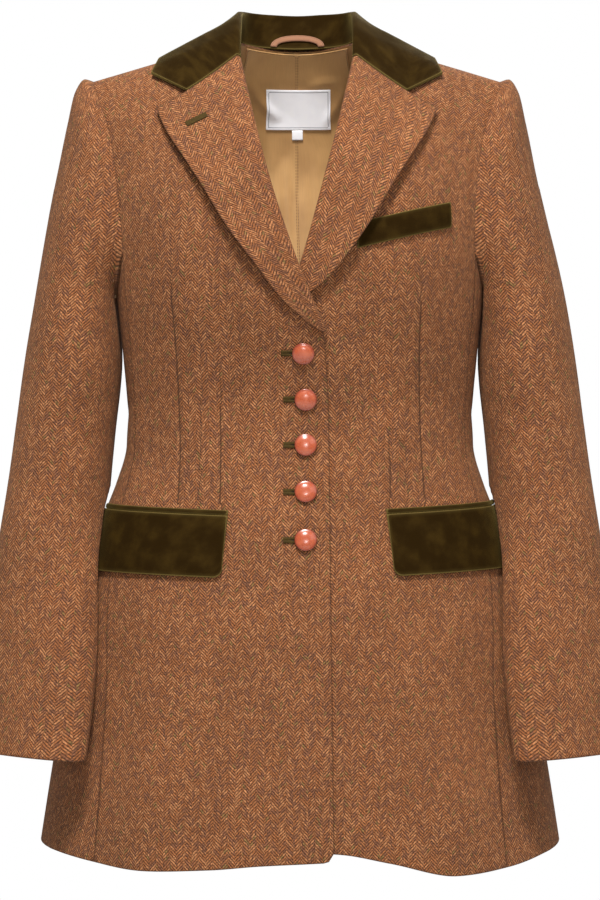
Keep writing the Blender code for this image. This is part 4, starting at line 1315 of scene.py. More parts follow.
DARTS: dict[Side, tuple[tuple[Pair, ...], ...]] = {
    Side.RIGHT: (
        ((0.1125, -0.4170), (0.1108, -0.3720), (0.1120, -0.3300), (0.1145, -0.2780), (0.1185, -0.2290)),
        ((0.0735, -0.4200), (0.0730, -0.3750), (0.0735, -0.3300)),
    ),
    Side.LEFT: (
        ((0.1150, -0.4160), (0.1112, -0.3450), (0.1100, -0.2770), (0.1115, -0.2340)),
        ((0.0830, -0.4160), (0.0832, -0.3780)),
    ),
}
FRONT_CREASES: dict[Side, tuple[Crease, ...]] = {
    Side.RIGHT: creases(
        Facing.FRONT,
        (-0.068, -0.195, -0.060, -0.400, 0.014, -0.0036, 0.003),
        (-0.038, -0.300, -0.046, -0.430, 0.011, 0.0008),
        (-0.096, -0.250, -0.090, -0.405, 0.013, 0.0008, -0.002),
        (-0.140, -0.225, -0.134, -0.385, 0.012, -0.0008, 0.002),
        (-0.020, -0.295, -0.075, -0.330, 0.007, -0.0006, 0.002),
        (-0.020, -0.468, -0.052, -0.485, 0.008, -0.0005, 0.002),
        (-0.060, -0.520, -0.078, -0.735, 0.017, -0.0015, 0.004),
        (-0.150, -0.560, -0.185, -0.740, 0.016, -0.0013, -0.003),
        (-0.125, -0.060, -0.150, -0.140, 0.014, -0.0009, 0.004),
    ),
    Side.LEFT: creases(
        Facing.FRONT,
        (0.068, -0.195, 0.060, -0.390, 0.014, -0.0036, -0.003),
        (0.036, -0.290, 0.042, -0.420, 0.011, 0.0007),
        (0.092, -0.240, 0.090, -0.400, 0.013, 0.0008, 0.002),
        (0.140, -0.230, 0.133, -0.380, 0.012, -0.0009, -0.002),
        (0.050, -0.520, 0.062, -0.738, 0.018, -0.0014, -0.004),
        (0.155, -0.550, 0.188, -0.735, 0.015, -0.0015, 0.003),
        (0.130, -0.055, 0.152, -0.130, 0.013, -0.0009, -0.003),
    ),
}
BACK_CREASES = creases(
    Facing.BACK,
    (-0.075, -0.060, -0.120, -0.165, 0.016, -0.0011, 0.004),
    (0.070, -0.055, 0.116, -0.170, 0.017, -0.0010, -0.004),
    (-0.012, -0.315, -0.085, -0.352, 0.008, -0.0009, 0.004),
    (0.010, -0.322, 0.090, -0.345, 0.009, -0.0010, -0.003),
    (-0.018, -0.365, -0.075, -0.380, 0.007, -0.0006, 0.002),
    (-0.050, -0.480, -0.078, -0.735, 0.017, -0.0015, 0.004),
    (0.056, -0.500, 0.070, -0.738, 0.018, -0.0014, -0.003),
    (-0.145, -0.540, -0.178, -0.735, 0.015, -0.0012, -0.002),
    (0.150, -0.520, 0.180, -0.740, 0.016, -0.0013, 0.003),
)
SIDE_CREASES = creases(
    Facing.OUTER,
    (-0.030, -0.325, 0.030, -0.345, 0.008, -0.0008, 0.003),
    (-0.020, -0.372, 0.036, -0.362, 0.007, -0.0006, -0.002),
    (0.006, -0.520, 0.016, -0.738, 0.017, -0.0013, 0.004),
)


@dataclass
class CoatBody:
    """Fronts, side panels and backs in tweed, each lined inside above its hem facing."""

    finishes: Finishes
    dresser: Dresser
    form: CoatForm = FORM
    cloth: float = 0.0022
    facing_height: float = -0.700
    tuck: float = 0.0003
    corner: float = 0.0090

    def _outer_edge(self, v: float, front: bool) -> Pair:
        """Across and height of a panel's outer edge: the side seam, then the armhole."""
        form, (low, high) = self.form, row_share(v)
        if high > 0:
            height = mix(form.junction, form.tip_height, high)
            return form.armhole_across(height), height
        height = mix(form.hem, form.junction, low)
        return form.across_of((form.front_seam if front else form.back_seam)(height), height), height

    def front(self, side: Side) -> ClothSheet:
        """A front, from its edge to the side seam and from the hem to the shoulder."""
        form = self.form

        def place(u: float, v: float) -> Vector:
            low, high = row_share(v)
            across_out, height_out = self._outer_edge(v, True)
            height_in = mix(mix(form.hem, form.junction, low), form.neck_height, high)
            share = 1 - (1 - u) ** 1.35
            across = mix(form.front_edge(height_in), across_out, share)
            height = mix(height_in, height_out, share)
            degrees = math.copysign(form.degrees_of(across, height), across)
            across, height = form.hem_lifted(side, across, degrees, height)
            corner = max(self.corner - (across - form.front_edge(height)), 0.0)
            rise = self.corner - math.sqrt(max(self.corner**2 - corner**2, 0.0))
            return form.front_point(side, across, height + rise * (1 - ease(0.0, 0.05, v)))

        def edge_across(point: Vector) -> float:
            return point.x

        darts = nearest(*(dart_line(side, spots) for spots in DARTS[side]))
        return ClothSheet(
            f"{side.word}_front",
            62,
            168,
            facing_out(side, place),
            self.cloth,
            relief=Relief(FRONT_CREASES[side], seed=1.0 + side.value),
            across_from=edge_across,
            along_from=lambda point: point.z,
            level=True,
            line=darts,
            lined_above=self.facing_height,
        )

    def back(self, side: Side) -> ClothSheet:
        """A back, from the centre seam to the side seam and from the hem to the neck and shoulder."""
        form = self.form

        def place(u: float, v: float) -> Vector:
            low, high = row_share(v)
            across_out, height_out = self._outer_edge(v, False)
            across = mix(-self.tuck, across_out, 1 - (1 - u) ** 1.35)
            top = mix(form.junction, form.back_top(across), high)
            height = top if high > 0 else height_out
            return form.body_point(side, *form.hem_lifted(side, across, 180, height), False)

        return ClothSheet(
            f"{side.word}_back",
            52,
            168,
            place if side is Side.RIGHT else lambda u, v: place(1 - u, v),
            self.cloth,
            relief=Relief(BACK_CREASES, seed=5.0 + side.value),
            across_from=lambda point: point.x,
            along_from=lambda point: point.z,
            level=True,
            lined_above=self.facing_height,
        )

    def side_panel(self, side: Side) -> ClothSheet:
        """A side panel, between the two side seams, from the hem to the bottom of the armhole."""
        form = self.form

        def place(u: float, v: float) -> Vector:
            level = mix(form.hem, form.junction, v)
            degrees = mix(form.front_seam(level), form.back_seam(level), u)
            dip = (1 - abs(2 * u - 1) ** form.underarm_round) * (form.junction - form.underarm)
            height = level - dip * v**6
            return form.side_point(side, degrees, form.hem_lifted(side, 0, degrees, height)[1])

        return ClothSheet(
            f"{side.word}_side",
            38,
            118,
            facing_out(side, place),
            self.cloth,
            relief=Relief(SIDE_CREASES, seed=9.0 + side.value, middle=1.0),
            across_from=lambda point: point.y,
            along_from=lambda point: point.z,
            level=True,
            lined_above=self.facing_height,
        )

    def dress(self) -> None:
        """Builds the six panels."""
        cloths = (self.finishes.tweed, self.finishes.satin)
        for side in Side:
            for sheet in (self.front(side), self.side_panel(side), self.back(side)):
                self.dresser.cloth(sheet, cloths, "tweed", Held.HUNG)


# ---------------------------------------------------------------- sleeves
# The start (x, height and its share of the left sleeve's shift), the end in the same way, width, out and bow
SLEEVE_CREASES: dict[Facing, tuple[tuple[float, ...], ...]] = {
    Facing.FRONT: (
        (0.178, -0.315, -1, 0.232, -0.345, 0, 0.009, -0.0013, 0.004),
        (0.182, -0.352, 0, 0.222, -0.372, -1, 0.008, -0.0010, 0.003),
        (0.185, -0.410, 0, 0.235, -0.392, 0, 0.009, -0.0008, -0.003),
        (0.206, -0.060, 0, 0.214, -0.170, -1, 0.012, -0.0010, 0.003),
        (0.232, -0.470, 0, 0.246, -0.600, 0, 0.014, -0.0010, 0.003),
    ),
    Facing.BACK: (
        (0.200, -0.085, 0, 0.224, -0.180, 1, 0.014, -0.0014, -0.004),
        (0.190, -0.300, 0, 0.262, -0.330, -1, 0.010, -0.0014, 0.005),
        (0.200, -0.350, 1, 0.270, -0.352, 0, 0.009, -0.0011, 0.004),
        (0.205, -0.392, 0, 0.262, -0.380, 0, 0.009, -0.0008, -0.003),
        (0.240, -0.440, 0, 0.262, -0.570, 0, 0.014, -0.0010, 0.003),
    ),
}


@dataclass
class Sleeve:
    """One two-piece sleeve, set into its armhole."""

    side: Side
    finishes: Finishes
    dresser: Dresser
    form: CoatForm = FORM
    cloth: float = 0.0022
    clearance: float = 0.0024
    flap_clearance: float = 0.0034
    blend: float = 0.30
    under_seam: float = 186.0
    hind_top: float = -58.0
    hind_cuff: float = 10.0
    seam_inset: float = 0.0
    head_tuck: float = 0.0012
    lined_above: float = -0.640
    crease_shift: float = 0.008
    rings: dict[str, Track] = field(
        default_factory=lambda: {name: Track.of(SLEEVE, "along", name) for name in SleeveRing._fields[1:]}
    )
    axis_across: Track = Track(((-0.655, 0.253), (-0.210, 0.203), (0.0, 0.179)))
    axis_back: Track = Track(
        ((-0.655, -0.089), (-0.465, -0.031), (-0.350, -0.004), (-0.270, 0.002), (0.0, 0.003))
    )
    girth: Track = Track(((-0.655, 0.043), (-0.450, 0.047), (-0.310, 0.053), (-0.200, 0.056), (0.0, 0.062)))

    def creases(self) -> tuple[Crease, ...]:
        """The elbow's and the cap's creases, a little different on each side."""
        turn, shift = self.side.value, self.crease_shift if self.side is Side.LEFT else 0.0
        return tuple(
            Crease(facing, (turn * x, z + a * shift), (turn * to_x, to_z + b * shift), width, out, turn * bow)
            for facing, rows in SLEEVE_CREASES.items()
            for x, z, a, to_x, to_z, b, width, out, bow in rows
        )

    def _clear_of_body(self, point: Vector) -> Vector:
        """Moves a point of the sleeve out from the body's side, seen from above."""
        form, side = self.form, self.side.value
        height = min(max(point.z, BODY[0].height), form.junction)
        across = (point.x - form.centre(height)) * side
        depth = (form.front_depth if point.y < 0 else form.back_depth)(height)
        beside_flap = ease(-0.520, -0.485, height) * (1 - ease(-0.425, -0.390, height))
        clear = self.clearance + self.flap_clearance * beside_flap
        depth += form.fold_out(form.degrees_of(across, height), height) + clear
        square = form.squareness(height)
        width = form.half_width(height) + clear
        reach = (abs(across / width) ** square + abs(point.y / depth) ** square) ** (1 / square)
        if reach < 1 and point.z < form.junction:
            return Vector((form.centre(height) + side * across / reach, point.y / reach, point.z))
        return point

    def _ring(self, along: float, turn: float) -> Vector:
        """A point of the plain rings, before the cap is joined to its armhole."""
        get, side = {name: ring(along) for name, ring in self.rings.items()}, self.side.value
        shift = self.form.centre(get["outer_height"])
        outer = Vector((shift + side * get["outer"], get["middle"] + get["turn"], get["outer_height"]))
        inner = Vector((shift + side * get["inner"], get["middle"] - get["turn"], get["inner_height"]))
        across = (outer - inner) / 2
        forward = Vector((0, -1, 0))
        forward = (forward - across * forward.dot(across) / across.length_squared).normalized()
        angle = math.radians(turn)
        return (outer + inner) / 2 + across * math.cos(angle) + forward * math.sin(angle) * get["half_depth"]

    def point(self, along: float, turn: float) -> Vector:
        """The sleeve's outside: it starts on the armhole seam and turns into plain rings below the cap."""
        fade = max(1 - along / self.blend, 0.0) ** 2
        made = self._ring(along, turn)
        if fade:
            seam = self.form.armhole_point(self.side, turn % 360) - self._ring(0.0, turn)
            made += (seam - Vector((self.side.value * self.head_tuck, 0, 0))) * fade
        return self._clear_of_body(made)

    def _round(self, point: Vector, start: float) -> float:
        """Distance round the sleeve from the line at that many degrees, for the weave's columns."""
        across = point.x * self.side.value - self.axis_across(point.z)
        turn = math.degrees(math.atan2(self.axis_back(point.z) - point.y, across)) - start
        return math.radians((turn + 180) % 360 - 180) * self.girth(point.z)

    def half(self, upper: bool) -> ClothSheet:
        """The upper or the under sleeve, between its two seams."""

        def place(u: float, v: float) -> Vector:
            along = v**1.25
            hind = mix(self.hind_top, self.hind_cuff, along**1.5)
            first, last = (hind, self.under_seam) if upper else (self.under_seam, hind + 360)
            return self.point(along, mix(first + self.seam_inset, last - self.seam_inset, 1 - u))

        flipped = facing_out(self.side, place)
        return ClothSheet(
            f"{self.side.word}_{'upper' if upper else 'under'}_sleeve",
            54 if upper else 36,
            140,
            lambda u, v: flipped(u, 1 - v),
            self.cloth,
            relief=Relief(self.creases(), uneven=0.0006, seed=13.0 + self.side.value, middle=-0.01),
            across_is=lambda point: self._round(point, 60.0 if upper else 244.0),
            along_is=lambda point: point.z,
            lined_above=self.lined_above,
        )

    def over(self, along: float, turn: float, out: float) -> Vector:
        """A point above the finished upper sleeve."""
        facing = normal_at(lambda a, t: self.point(a, t * 100), along, turn / 100, 0.004) * -self.side.value
        return Bodies.laid([f"{self.side.word}_upper_sleeve"], self.point(along, turn), facing, out)

    def dress(self) -> None:
        """Builds both halves of the sleeve."""
        cloths = (self.finishes.tweed, self.finishes.satin)
        for upper in (True, False):
            self.dresser.cloth(self.half(upper), cloths, "tweed", Held.HUNG)


# ---------------------------------------------------------------- lapels and collar
@dataclass
class TurnedEdge:
    """The steps of a wall folded over: a leg, a round bend and a leaf."""

    leg: int = 2
    bend: int = 4
    leaf: int = 6
    radius: float = 0.0040

    @property
    def steps(self) -> int:
        """All of its steps."""
        return self.leg + self.bend + self.leaf


@dataclass
class Lapel:
    """A lapel: the front's own cloth turned back at the roll line, with its grain along the roll."""

    side: Side
    finishes: Finishes
    dresser: Dresser
    form: CoatForm = FORM
    fold: TurnedEdge = field(default_factory=TurnedEdge)
    cloth: float = 0.0022
    faced: float = 0.0026
    sag: float = 0.0034
    lift: float = 0.0045
    rows: dict[str, Track] = field(init=False)

    def __post_init__(self) -> None:
        """Reads the side's own rows."""
        table = (*RIGHT_LAPEL_FOOT, *LAPEL[len(RIGHT_LAPEL_FOOT) :]) if self.side is Side.RIGHT else LAPEL
        self.rows = {name: Track.of(table, "along", name) for name in LapelRow._fields[1:]}

    def _hook(self, share: float, top: float, edge_top: float, width: float) -> Pair:
        """Across and up of the folded edge."""
        fold, leg = self.fold, 3 * self.form.seam + self.faced
        step = share * fold.steps
        radius = min(fold.radius, top)
        if step <= fold.leg:
            return -leg, mix(-self.cloth, top - radius, step / fold.leg)
        if step <= fold.leg + fold.bend:
            angle = math.pi / 2 * (step - fold.leg) / fold.bend
            return -leg + radius * (1 - math.cos(angle)), top - radius * (1 - math.sin(angle))
        out = (step - fold.leg - fold.bend) / fold.leaf
        return mix(-leg + radius, width, out), mix(top, edge_top, ease(0.3, 1, out))

    def point(self, share: float, along: float) -> Vector:
        """A point of the lapel's outer face, that share round its fold and that far up it."""
        get, edge_of = {name: row(along) for name, row in self.rows.items()}, self.form.front_edge
        roll = Vector((edge_of(get["roll_height"]), get["roll_height"]))
        edge = Vector((get["edge_across"], get["edge_height"]))
        way, width = (edge - roll).normalized(), (edge - roll).length
        edge_top = get["edge_top"] + self.lift * math.sin(math.pi * along)
        across, up = self._hook(share, get["top"], edge_top, width)
        rise = edge_of(get["roll_height"] + 0.003) - edge_of(get["roll_height"] - 0.003)
        lean = Vector((rise, 0.006)).normalized()
        sag = self.sag * along**8 * max(math.sin(math.pi * across / width), 0.0)
        spot = roll + way * max(across, 0.0) - Vector((0, sag))
        spot += Vector((lean.y, -lean.x)) * min(across, 0.0)
        return self.form.over_front(self.side, spot.x, spot.y, up)

    def sheet(self) -> ClothSheet:
        """The whole lapel."""

        def place(u: float, v: float) -> Vector:
            return self.point(u, v) - Vector((0, 0, self.form.seam * v**8))

        return ClothSheet(
            f"{self.side.word}_lapel",
            60,
            70,
            facing_out(self.side, place),
            self.faced,
            edge_round=0.0008,
        )

    def over(self, share: float, along: float, out: float) -> Vector:
        """A point over the finished lapel."""
        facing = normal_at(self.point, share, along, 0.004) * self.side.value
        return Bodies.laid([f"{self.side.word}_lapel"], self.point(share, along), facing, out)

    def dress(self) -> None:
        """Builds the lapel."""
        rests_on = [f"{self.side.word}_front"]
        self.dresser.cloth(self.sheet(), (self.finishes.tweed,), "tweed", Held.FOLDED, rests_on)


@dataclass
class Collar:
    """The velvet collar: its stand, its fold and its leaf, joined to both lapels at the gorge."""

    lapels: dict[Side, Lapel]
    finishes: Finishes
    dresser: Dresser
    form: CoatForm = FORM
    fold: TurnedEdge = field(default_factory=TurnedEdge)
    velvet: float = 0.0028
    notch: float = 0.62
    tip_across: float = 0.1345
    tip_height: float = -0.0215
    tip_top: float = 0.0062
    columns: int = 60
    rows: int = 150

    def _gorge(self, side: Side, share: float) -> Vector:
        """The collar's front end: it follows the lapel's top to the notch, then its own edge to the tip."""
        fold = self.fold
        leaf = (share * fold.steps - fold.leg - fold.bend) / fold.leaf
        corner = 4 / fold.leaf
        first = fold.leg + fold.bend
        on_lapel = min(max(leaf, 0) / corner, 1) * self.notch
        place = share if leaf <= 0 else (first + on_lapel * fold.leaf) / fold.steps
        point = self.lapels[side].point(place, 1.0)
        if leaf > corner:
            tip = self.form.over_front(side, self.tip_across, self.tip_height, self.tip_top)
            point = point.lerp(tip, (leaf - corner) / (1 - corner))
        return point + Vector((0, 0, 3 * self.form.seam))

    def _section(self, side: Side, row: CollarRow, share: float) -> Vector:
        """A point of one section: from its foot up to the fold, over it and down its leaf."""
        shift, fold_of = Vector((self.form.centre(0), 0, 0)), self.fold
        spots = (row.foot, row.fold, row.edge, row.top)
        foot, fold, edge, top = (Vector((spot[0] * side.value, spot[1], spot[2])) for spot in spots)
        foot, fold, edge = foot + shift, fold + shift, edge + shift
        rise, fall = (fold - foot).normalized(), (edge - fold).normalized()
        top.normalize()
        leaf_up = (top - fall * top.dot(fall)).normalized()
        neck_way = rise.cross(rise.cross(fall).normalized()).normalized()
        if neck_way.dot(leaf_up) <= -0.99 or neck_way.dot(fall) >= 0:
            neck_way = -neck_way
        step = share * fold_of.steps
        if step <= fold_of.leg:
            return foot.lerp(fold + neck_way * fold_of.radius, step / fold_of.leg)
        if step <= fold_of.leg + fold_of.bend:
            return fold + neck_way.slerp(leaf_up, (step - fold_of.leg) / fold_of.bend) * fold_of.radius
        out = (step - fold_of.leg - fold_of.bend) / fold_of.leaf
        return (fold + leaf_up * fold_of.radius).lerp(edge, out)

    def _line(self, share: float) -> tuple[Track, Track, Track]:
        """A smooth line round the neck at one share of the section, from the right gorge to the left."""
        spots = [(-1.0, self._gorge(Side.RIGHT, share)), (1.0, self._gorge(Side.LEFT, share))]
        for row in COLLAR:
            for side in (Side.RIGHT, Side.LEFT) if row.along else (Side.LEFT,):
                spots.append((side.value * row.along, self._section(side, row, share)))
        spots.sort(key=lambda spot: spot[0])
        x, y, z = (Track((along, point[axis]) for along, point in spots) for axis in range(3))
        return x, y, z

    def sheet(self) -> ClothSheet:
        """The whole collar."""
        lines = [self._line(i / self.columns) for i in range(self.columns + 1)]

        def place(u: float, v: float) -> Vector:
            line = lines[round(u * self.columns)]
            return Vector([axis(1 - 2 * v) for axis in line])

        return ClothSheet(
            "collar",
            self.columns,
            self.rows,
            place,
            self.velvet,
            relief=Relief(uneven=0.0003, size=0.03, seed=21.0),
            edge_round=0.0010,
        )

    def dress(self) -> None:
        """Builds the collar."""
        rests_on = ["right_back", "left_back", "right_front", "left_front"]
        self.dresser.cloth(self.sheet(), (self.finishes.velvet,), "velvet", Held.FOLDED, rests_on)


# ---------------------------------------------------------------- pockets
@dataclass
class HipPocket:
    """A velvet flap with the jetting above it."""

    side: Side
    front_across: float
    front_height: float
    outer_height: float
    finishes: Finishes
    dresser: Dresser
    form: CoatForm = FORM
    length: float = 0.148
    drop: float = 0.0615
    corner: float = 0.0075
    jetting_height: float = 0.0048
    flap_cloth: float = 0.0026
    jetting_cloth: float = 0.0017

    def _over_body(self, degrees: float, height: float, out: float) -> Vector:
        """A point above the body's finished panels."""
        side = self.side
        body = self.form.side_point
        facing = normal_at(lambda a, h: body(side, a * 100, h), degrees / 100, height) * side.value
        panels = [f"{side.word}_{panel}" for panel in ("front", "side", "back")]
        return Bodies.laid(panels, self.form.side_point(side, degrees, height), facing, out)

    def _degrees_after(self, degrees: float, height: float, distance: float) -> float:
        """The angle reached by walking that far round the body."""
        point = self.form.side_point
        while distance > 0:
            step = (point(self.side, degrees + 1, height) - point(self.side, degrees, height)).length
            degrees, distance = degrees + min(distance / step, 1), distance - step
        return degrees

    def _spot(self, along: float, down: float, out: float) -> Vector:
        """A point above the body that far back from the flap's front end, and that far down."""
        height = mix(self.front_height, self.outer_height, along / self.length)
        start = self.form.degrees_of(self.front_across, self.front_height)
        return self._over_body(self._degrees_after(start, height, along), height - down, out)

    def flap(self) -> ClothSheet:
        """The flap, crowned a little, with a rounded front corner."""
        seam = self.form.seam

        def place(u: float, v: float) -> Vector:
            along = u**1.7 * self.length
            corner = max(self.corner - along, 0.0)
            bottom = self.drop - self.corner + math.sqrt(self.corner**2 - corner**2)
            rise = math.sin(math.pi * min(v * 1.05, 1.0)) ** 0.7
            crown = 0.0009 * rise * math.sin(math.pi * min(u**1.7 * 1.6, 0.5))
            down = mix(self.jetting_height + seam, bottom, 1 - v)
            return self._spot(along, down, self.flap_cloth + 3 * seam + crown)

        return ClothSheet(
            f"{self.side.word}_flap",
            56,
            22,
            facing_out(self.side, place),
            self.flap_cloth,
            edge_round=0.0009,
        )

    def jetting(self) -> ClothSheet:
        """The rounded strip above the flap."""

        def place(u: float, v: float) -> Vector:
            out = self.jetting_cloth + 2 * self.form.seam + 0.0008 * math.sin(math.pi * v)
            return self._spot(u * self.length, self.jetting_height * (1 - v), out)

        return ClothSheet(
            f"{self.side.word}_jetting",
            50,
            6,
            facing_out(self.side, place),
            self.jetting_cloth,
            edge_round=0.0005,
        )

    def dress(self) -> None:
        """Builds the pocket."""
        rests_on = [f"{self.side.word}_front", f"{self.side.word}_side"]
        for sheet in (self.flap(), self.jetting()):
            self.dresser.cloth(sheet, (self.finishes.velvet,), "velvet", Held.LAID, rests_on)


def trim_point(form: CoatForm, piece: str, side: Side, across: float, height: float, out: float) -> Vector:
    """A point above a finished front."""
    facing = normal_at(lambda a, h: form.front_point(side, a, h), across, height) * side.value
    return Bodies.laid([piece], form.front_point(side, across, height), facing, out)


@dataclass
class BreastWelt:
    """The breast pocket's slanting velvet welt on the wearer's left front."""

    finishes: Finishes
    dresser: Dresser
    form: CoatForm = FORM
    inner: Pair = (0.0535, -0.1865)
    outer: Pair = (0.1400, -0.1655)
    height: float = 0.0235
    cloth: float = 0.0024

    def sheet(self) -> ClothSheet:
        """The welt."""

        def place(u: float, v: float) -> Vector:
            across, low = mix(self.inner[0], self.outer[0], u), mix(self.inner[1], self.outer[1], u)
            crown = 0.0006 * math.sin(math.pi * v)
            out = self.cloth + 2 * self.form.seam + crown
            return trim_point(self.form, "left_front", Side.LEFT, across, low + self.height * v, out)

        return ClothSheet("breast_welt", 34, 12, place, self.cloth, edge_round=0.0008)

    def dress(self) -> None:
        """Builds the welt."""
        self.dresser.cloth(self.sheet(), (self.finishes.velvet,), "velvet", Held.LAID, ["left_front"])


# ---------------------------------------------------------------- buttons and buttonholes
@dataclass(frozen=True)
class ButtonShape:
    """A turned, domed button with a round rim and a flat back."""

    radius: float
    depth: float
    steps: int = 72
    profile: tuple[Pair, ...] = (
        (0.0, 1.0),
        (0.12, 0.996),
        (0.24, 0.975),
        (0.36, 0.94),
        (0.48, 0.885),
        (0.60, 0.80),
        (0.69, 0.715),
        (0.76, 0.63),
        (0.82, 0.565),
        (0.87, 0.530),
        (0.91, 0.505),
        (0.945, 0.475),
        (0.975, 0.430),
        (0.994, 0.375),
        (1.0, 0.310),
        (0.985, 0.22),
        (0.94, 0.11),
        (0.86, 0.04),
        (0.6, 0.0),
        (0.0, 0.0),
    )

    def mesh(self, place: Vector, facing: Vector) -> bmesh.types.BMesh:
        """Spins the button and sets it on its cloth.

        Args:
            place: the middle of its back.
            facing: the way its dome points.

        Returns:
            The closed mesh.
        """
        mesh = bmesh.new()
        edge = mesh.verts.layers.float.new("edge")
        points = [mesh.verts.new((share * self.radius, 0, up * self.depth)) for share, up in self.profile]
        for near, far in zip(points, points[1:]):
            mesh.edges.new((near, far))
        spun = mesh.verts[:] + mesh.edges[:]
        bmesh.ops.spin(
            mesh, geom=spun, axis=(0, 0, 1), cent=(0, 0, 0), angle=math.tau, steps=self.steps, use_merge=True
        )
        bmesh.ops.remove_doubles(mesh, verts=mesh.verts[:], dist=0.00003)
        bmesh.ops.recalc_face_normals(mesh, faces=mesh.faces[:])
        for vert in mesh.verts:
            vert[edge] = self.radius - vert.co.xy.length
        turn = Vector((0, 0, 1)).rotation_difference(facing)
        bmesh.ops.transform(mesh, matrix=Matrix.LocRotScale(place, turn, None), verts=mesh.verts[:])
        return mesh


@dataclass
class Fastenings:
    """The buttons and their bound buttonholes, on the front, the cuffs and the right lapel."""

    sleeves: dict[Side, Sleeve]
    lapels: dict[Side, Lapel]
    finishes: Finishes
    dresser: Dresser
    form: CoatForm = FORM
    front_across: tuple[float, ...] = (0.0030, 0.0052, 0.0052, 0.0052, 0.0052)
    front_heights: tuple[float, ...] = (-0.2818, -0.3240, -0.3660, -0.4090, -0.4530)
    cuff_along: tuple[float, ...] = (0.896, 0.937, 0.975)
    cuff_degrees: float = 48.0
    hole_width: float = 0.0056
    hole_depth: float = 0.0007
    big: ButtonShape = ButtonShape(0.0102, 0.0046)
    small: ButtonShape = ButtonShape(0.0076, 0.0036, 36)

    def _hole(self, node: str, surface: Callable[..., Vector], first: Pair, last: Pair, slit: float) -> None:
        """Builds a bound buttonhole between two spots of a surface.

        Args:
            node: the node that it replaces.
            surface: gives a point from two places and a height over the cloth.
            first: one end's places.
            last: the other end's places.
            slit: from this share of the length on, the slit's painted shadow runs.
        """
        first, last = Vector(first), Vector(last)
        middle = first.lerp(last, 0.5)
        facing = (surface(*middle, 0.001) - surface(*middle, 0.0)).normalized()
        way = surface(*last, 0.0) - surface(*first, 0.0)
        up = facing.cross(way).normalized()
        start, length = surface(*first, 0.0), way.length

        def place(u: float, v: float) -> Vector:
            lip = 0.0004 * math.sin(math.pi * abs(2 * v - 1)) ** 2
            out = self.hole_depth + self.form.seam + lip
            return surface(*first.lerp(last, u), out) + up * self.hole_width * (v - 0.5)

        # the signed distance to the line where the binding's material paints the slit's shadow
        def open_slit(point: Vector) -> float:
            off = (point - start).dot(up)
            before = max(slit * length - (point - start).dot(way) / length, 0.0)
            return math.copysign(math.hypot(off, before), off)

        sheet = ClothSheet(node, 22, 10, place, self.hole_depth, line=open_slit, edge_round=0.00025)
        self.dresser.piece(node, sheet.build(), (self.finishes.binding,), "binding")

    def _button(self, node: str, surface: Callable[[float], Vector], shape: ButtonShape) -> None:
        """Builds one button, whose place over the cloth the surface gives."""
        place = surface(self.hole_depth + self.form.seam * 2)
        facing = (place - surface(0.0)).normalized()
        self.dresser.piece(node, shape.mesh(place, facing), (self.finishes.coral,), "button_coral")

    def dress(self) -> None:
        """Builds every button and buttonhole."""
        form = self.form

        def over_front(x: float, height: float, out: float) -> Vector:
            return trim_point(form, "right_front", Side.RIGHT, x, height, out)

        for number, (x, height) in enumerate(zip(self.front_across, self.front_heights), 1):
            ends = (0.0205 - x, height), (-0.0030 - x, height)
            self._hole(f"front_buttonhole_{number}", over_front, *ends, 0.34)
            node = f"front_button_{number}"
            self._button(node, lambda out, x=x, h=height: over_front(-x, h, out), self.big)
        for side, sleeve in self.sleeves.items():
            for number, along in enumerate(self.cuff_along, 1):
                turn = self.cuff_degrees
                ends = (along, turn - 9), (along, turn + 19)
                self._hole(f"{side.word}_cuff_buttonhole_{number}", sleeve.over, *ends, 2.0)
                node = f"{side.word}_cuff_button_{number}"
                self._button(node, lambda out, s=sleeve, a=along, t=turn: s.over(a, t, out), self.small)
        self._hole("lapel_buttonhole", self.lapels[Side.RIGHT].over, (0.882, 0.838), (0.748, 0.846), 2.0)
        cuffs = 2 * len(self.cuff_along)
        log.info("fastenings: %d front and %d cuff buttons", len(self.front_heights), cuffs)


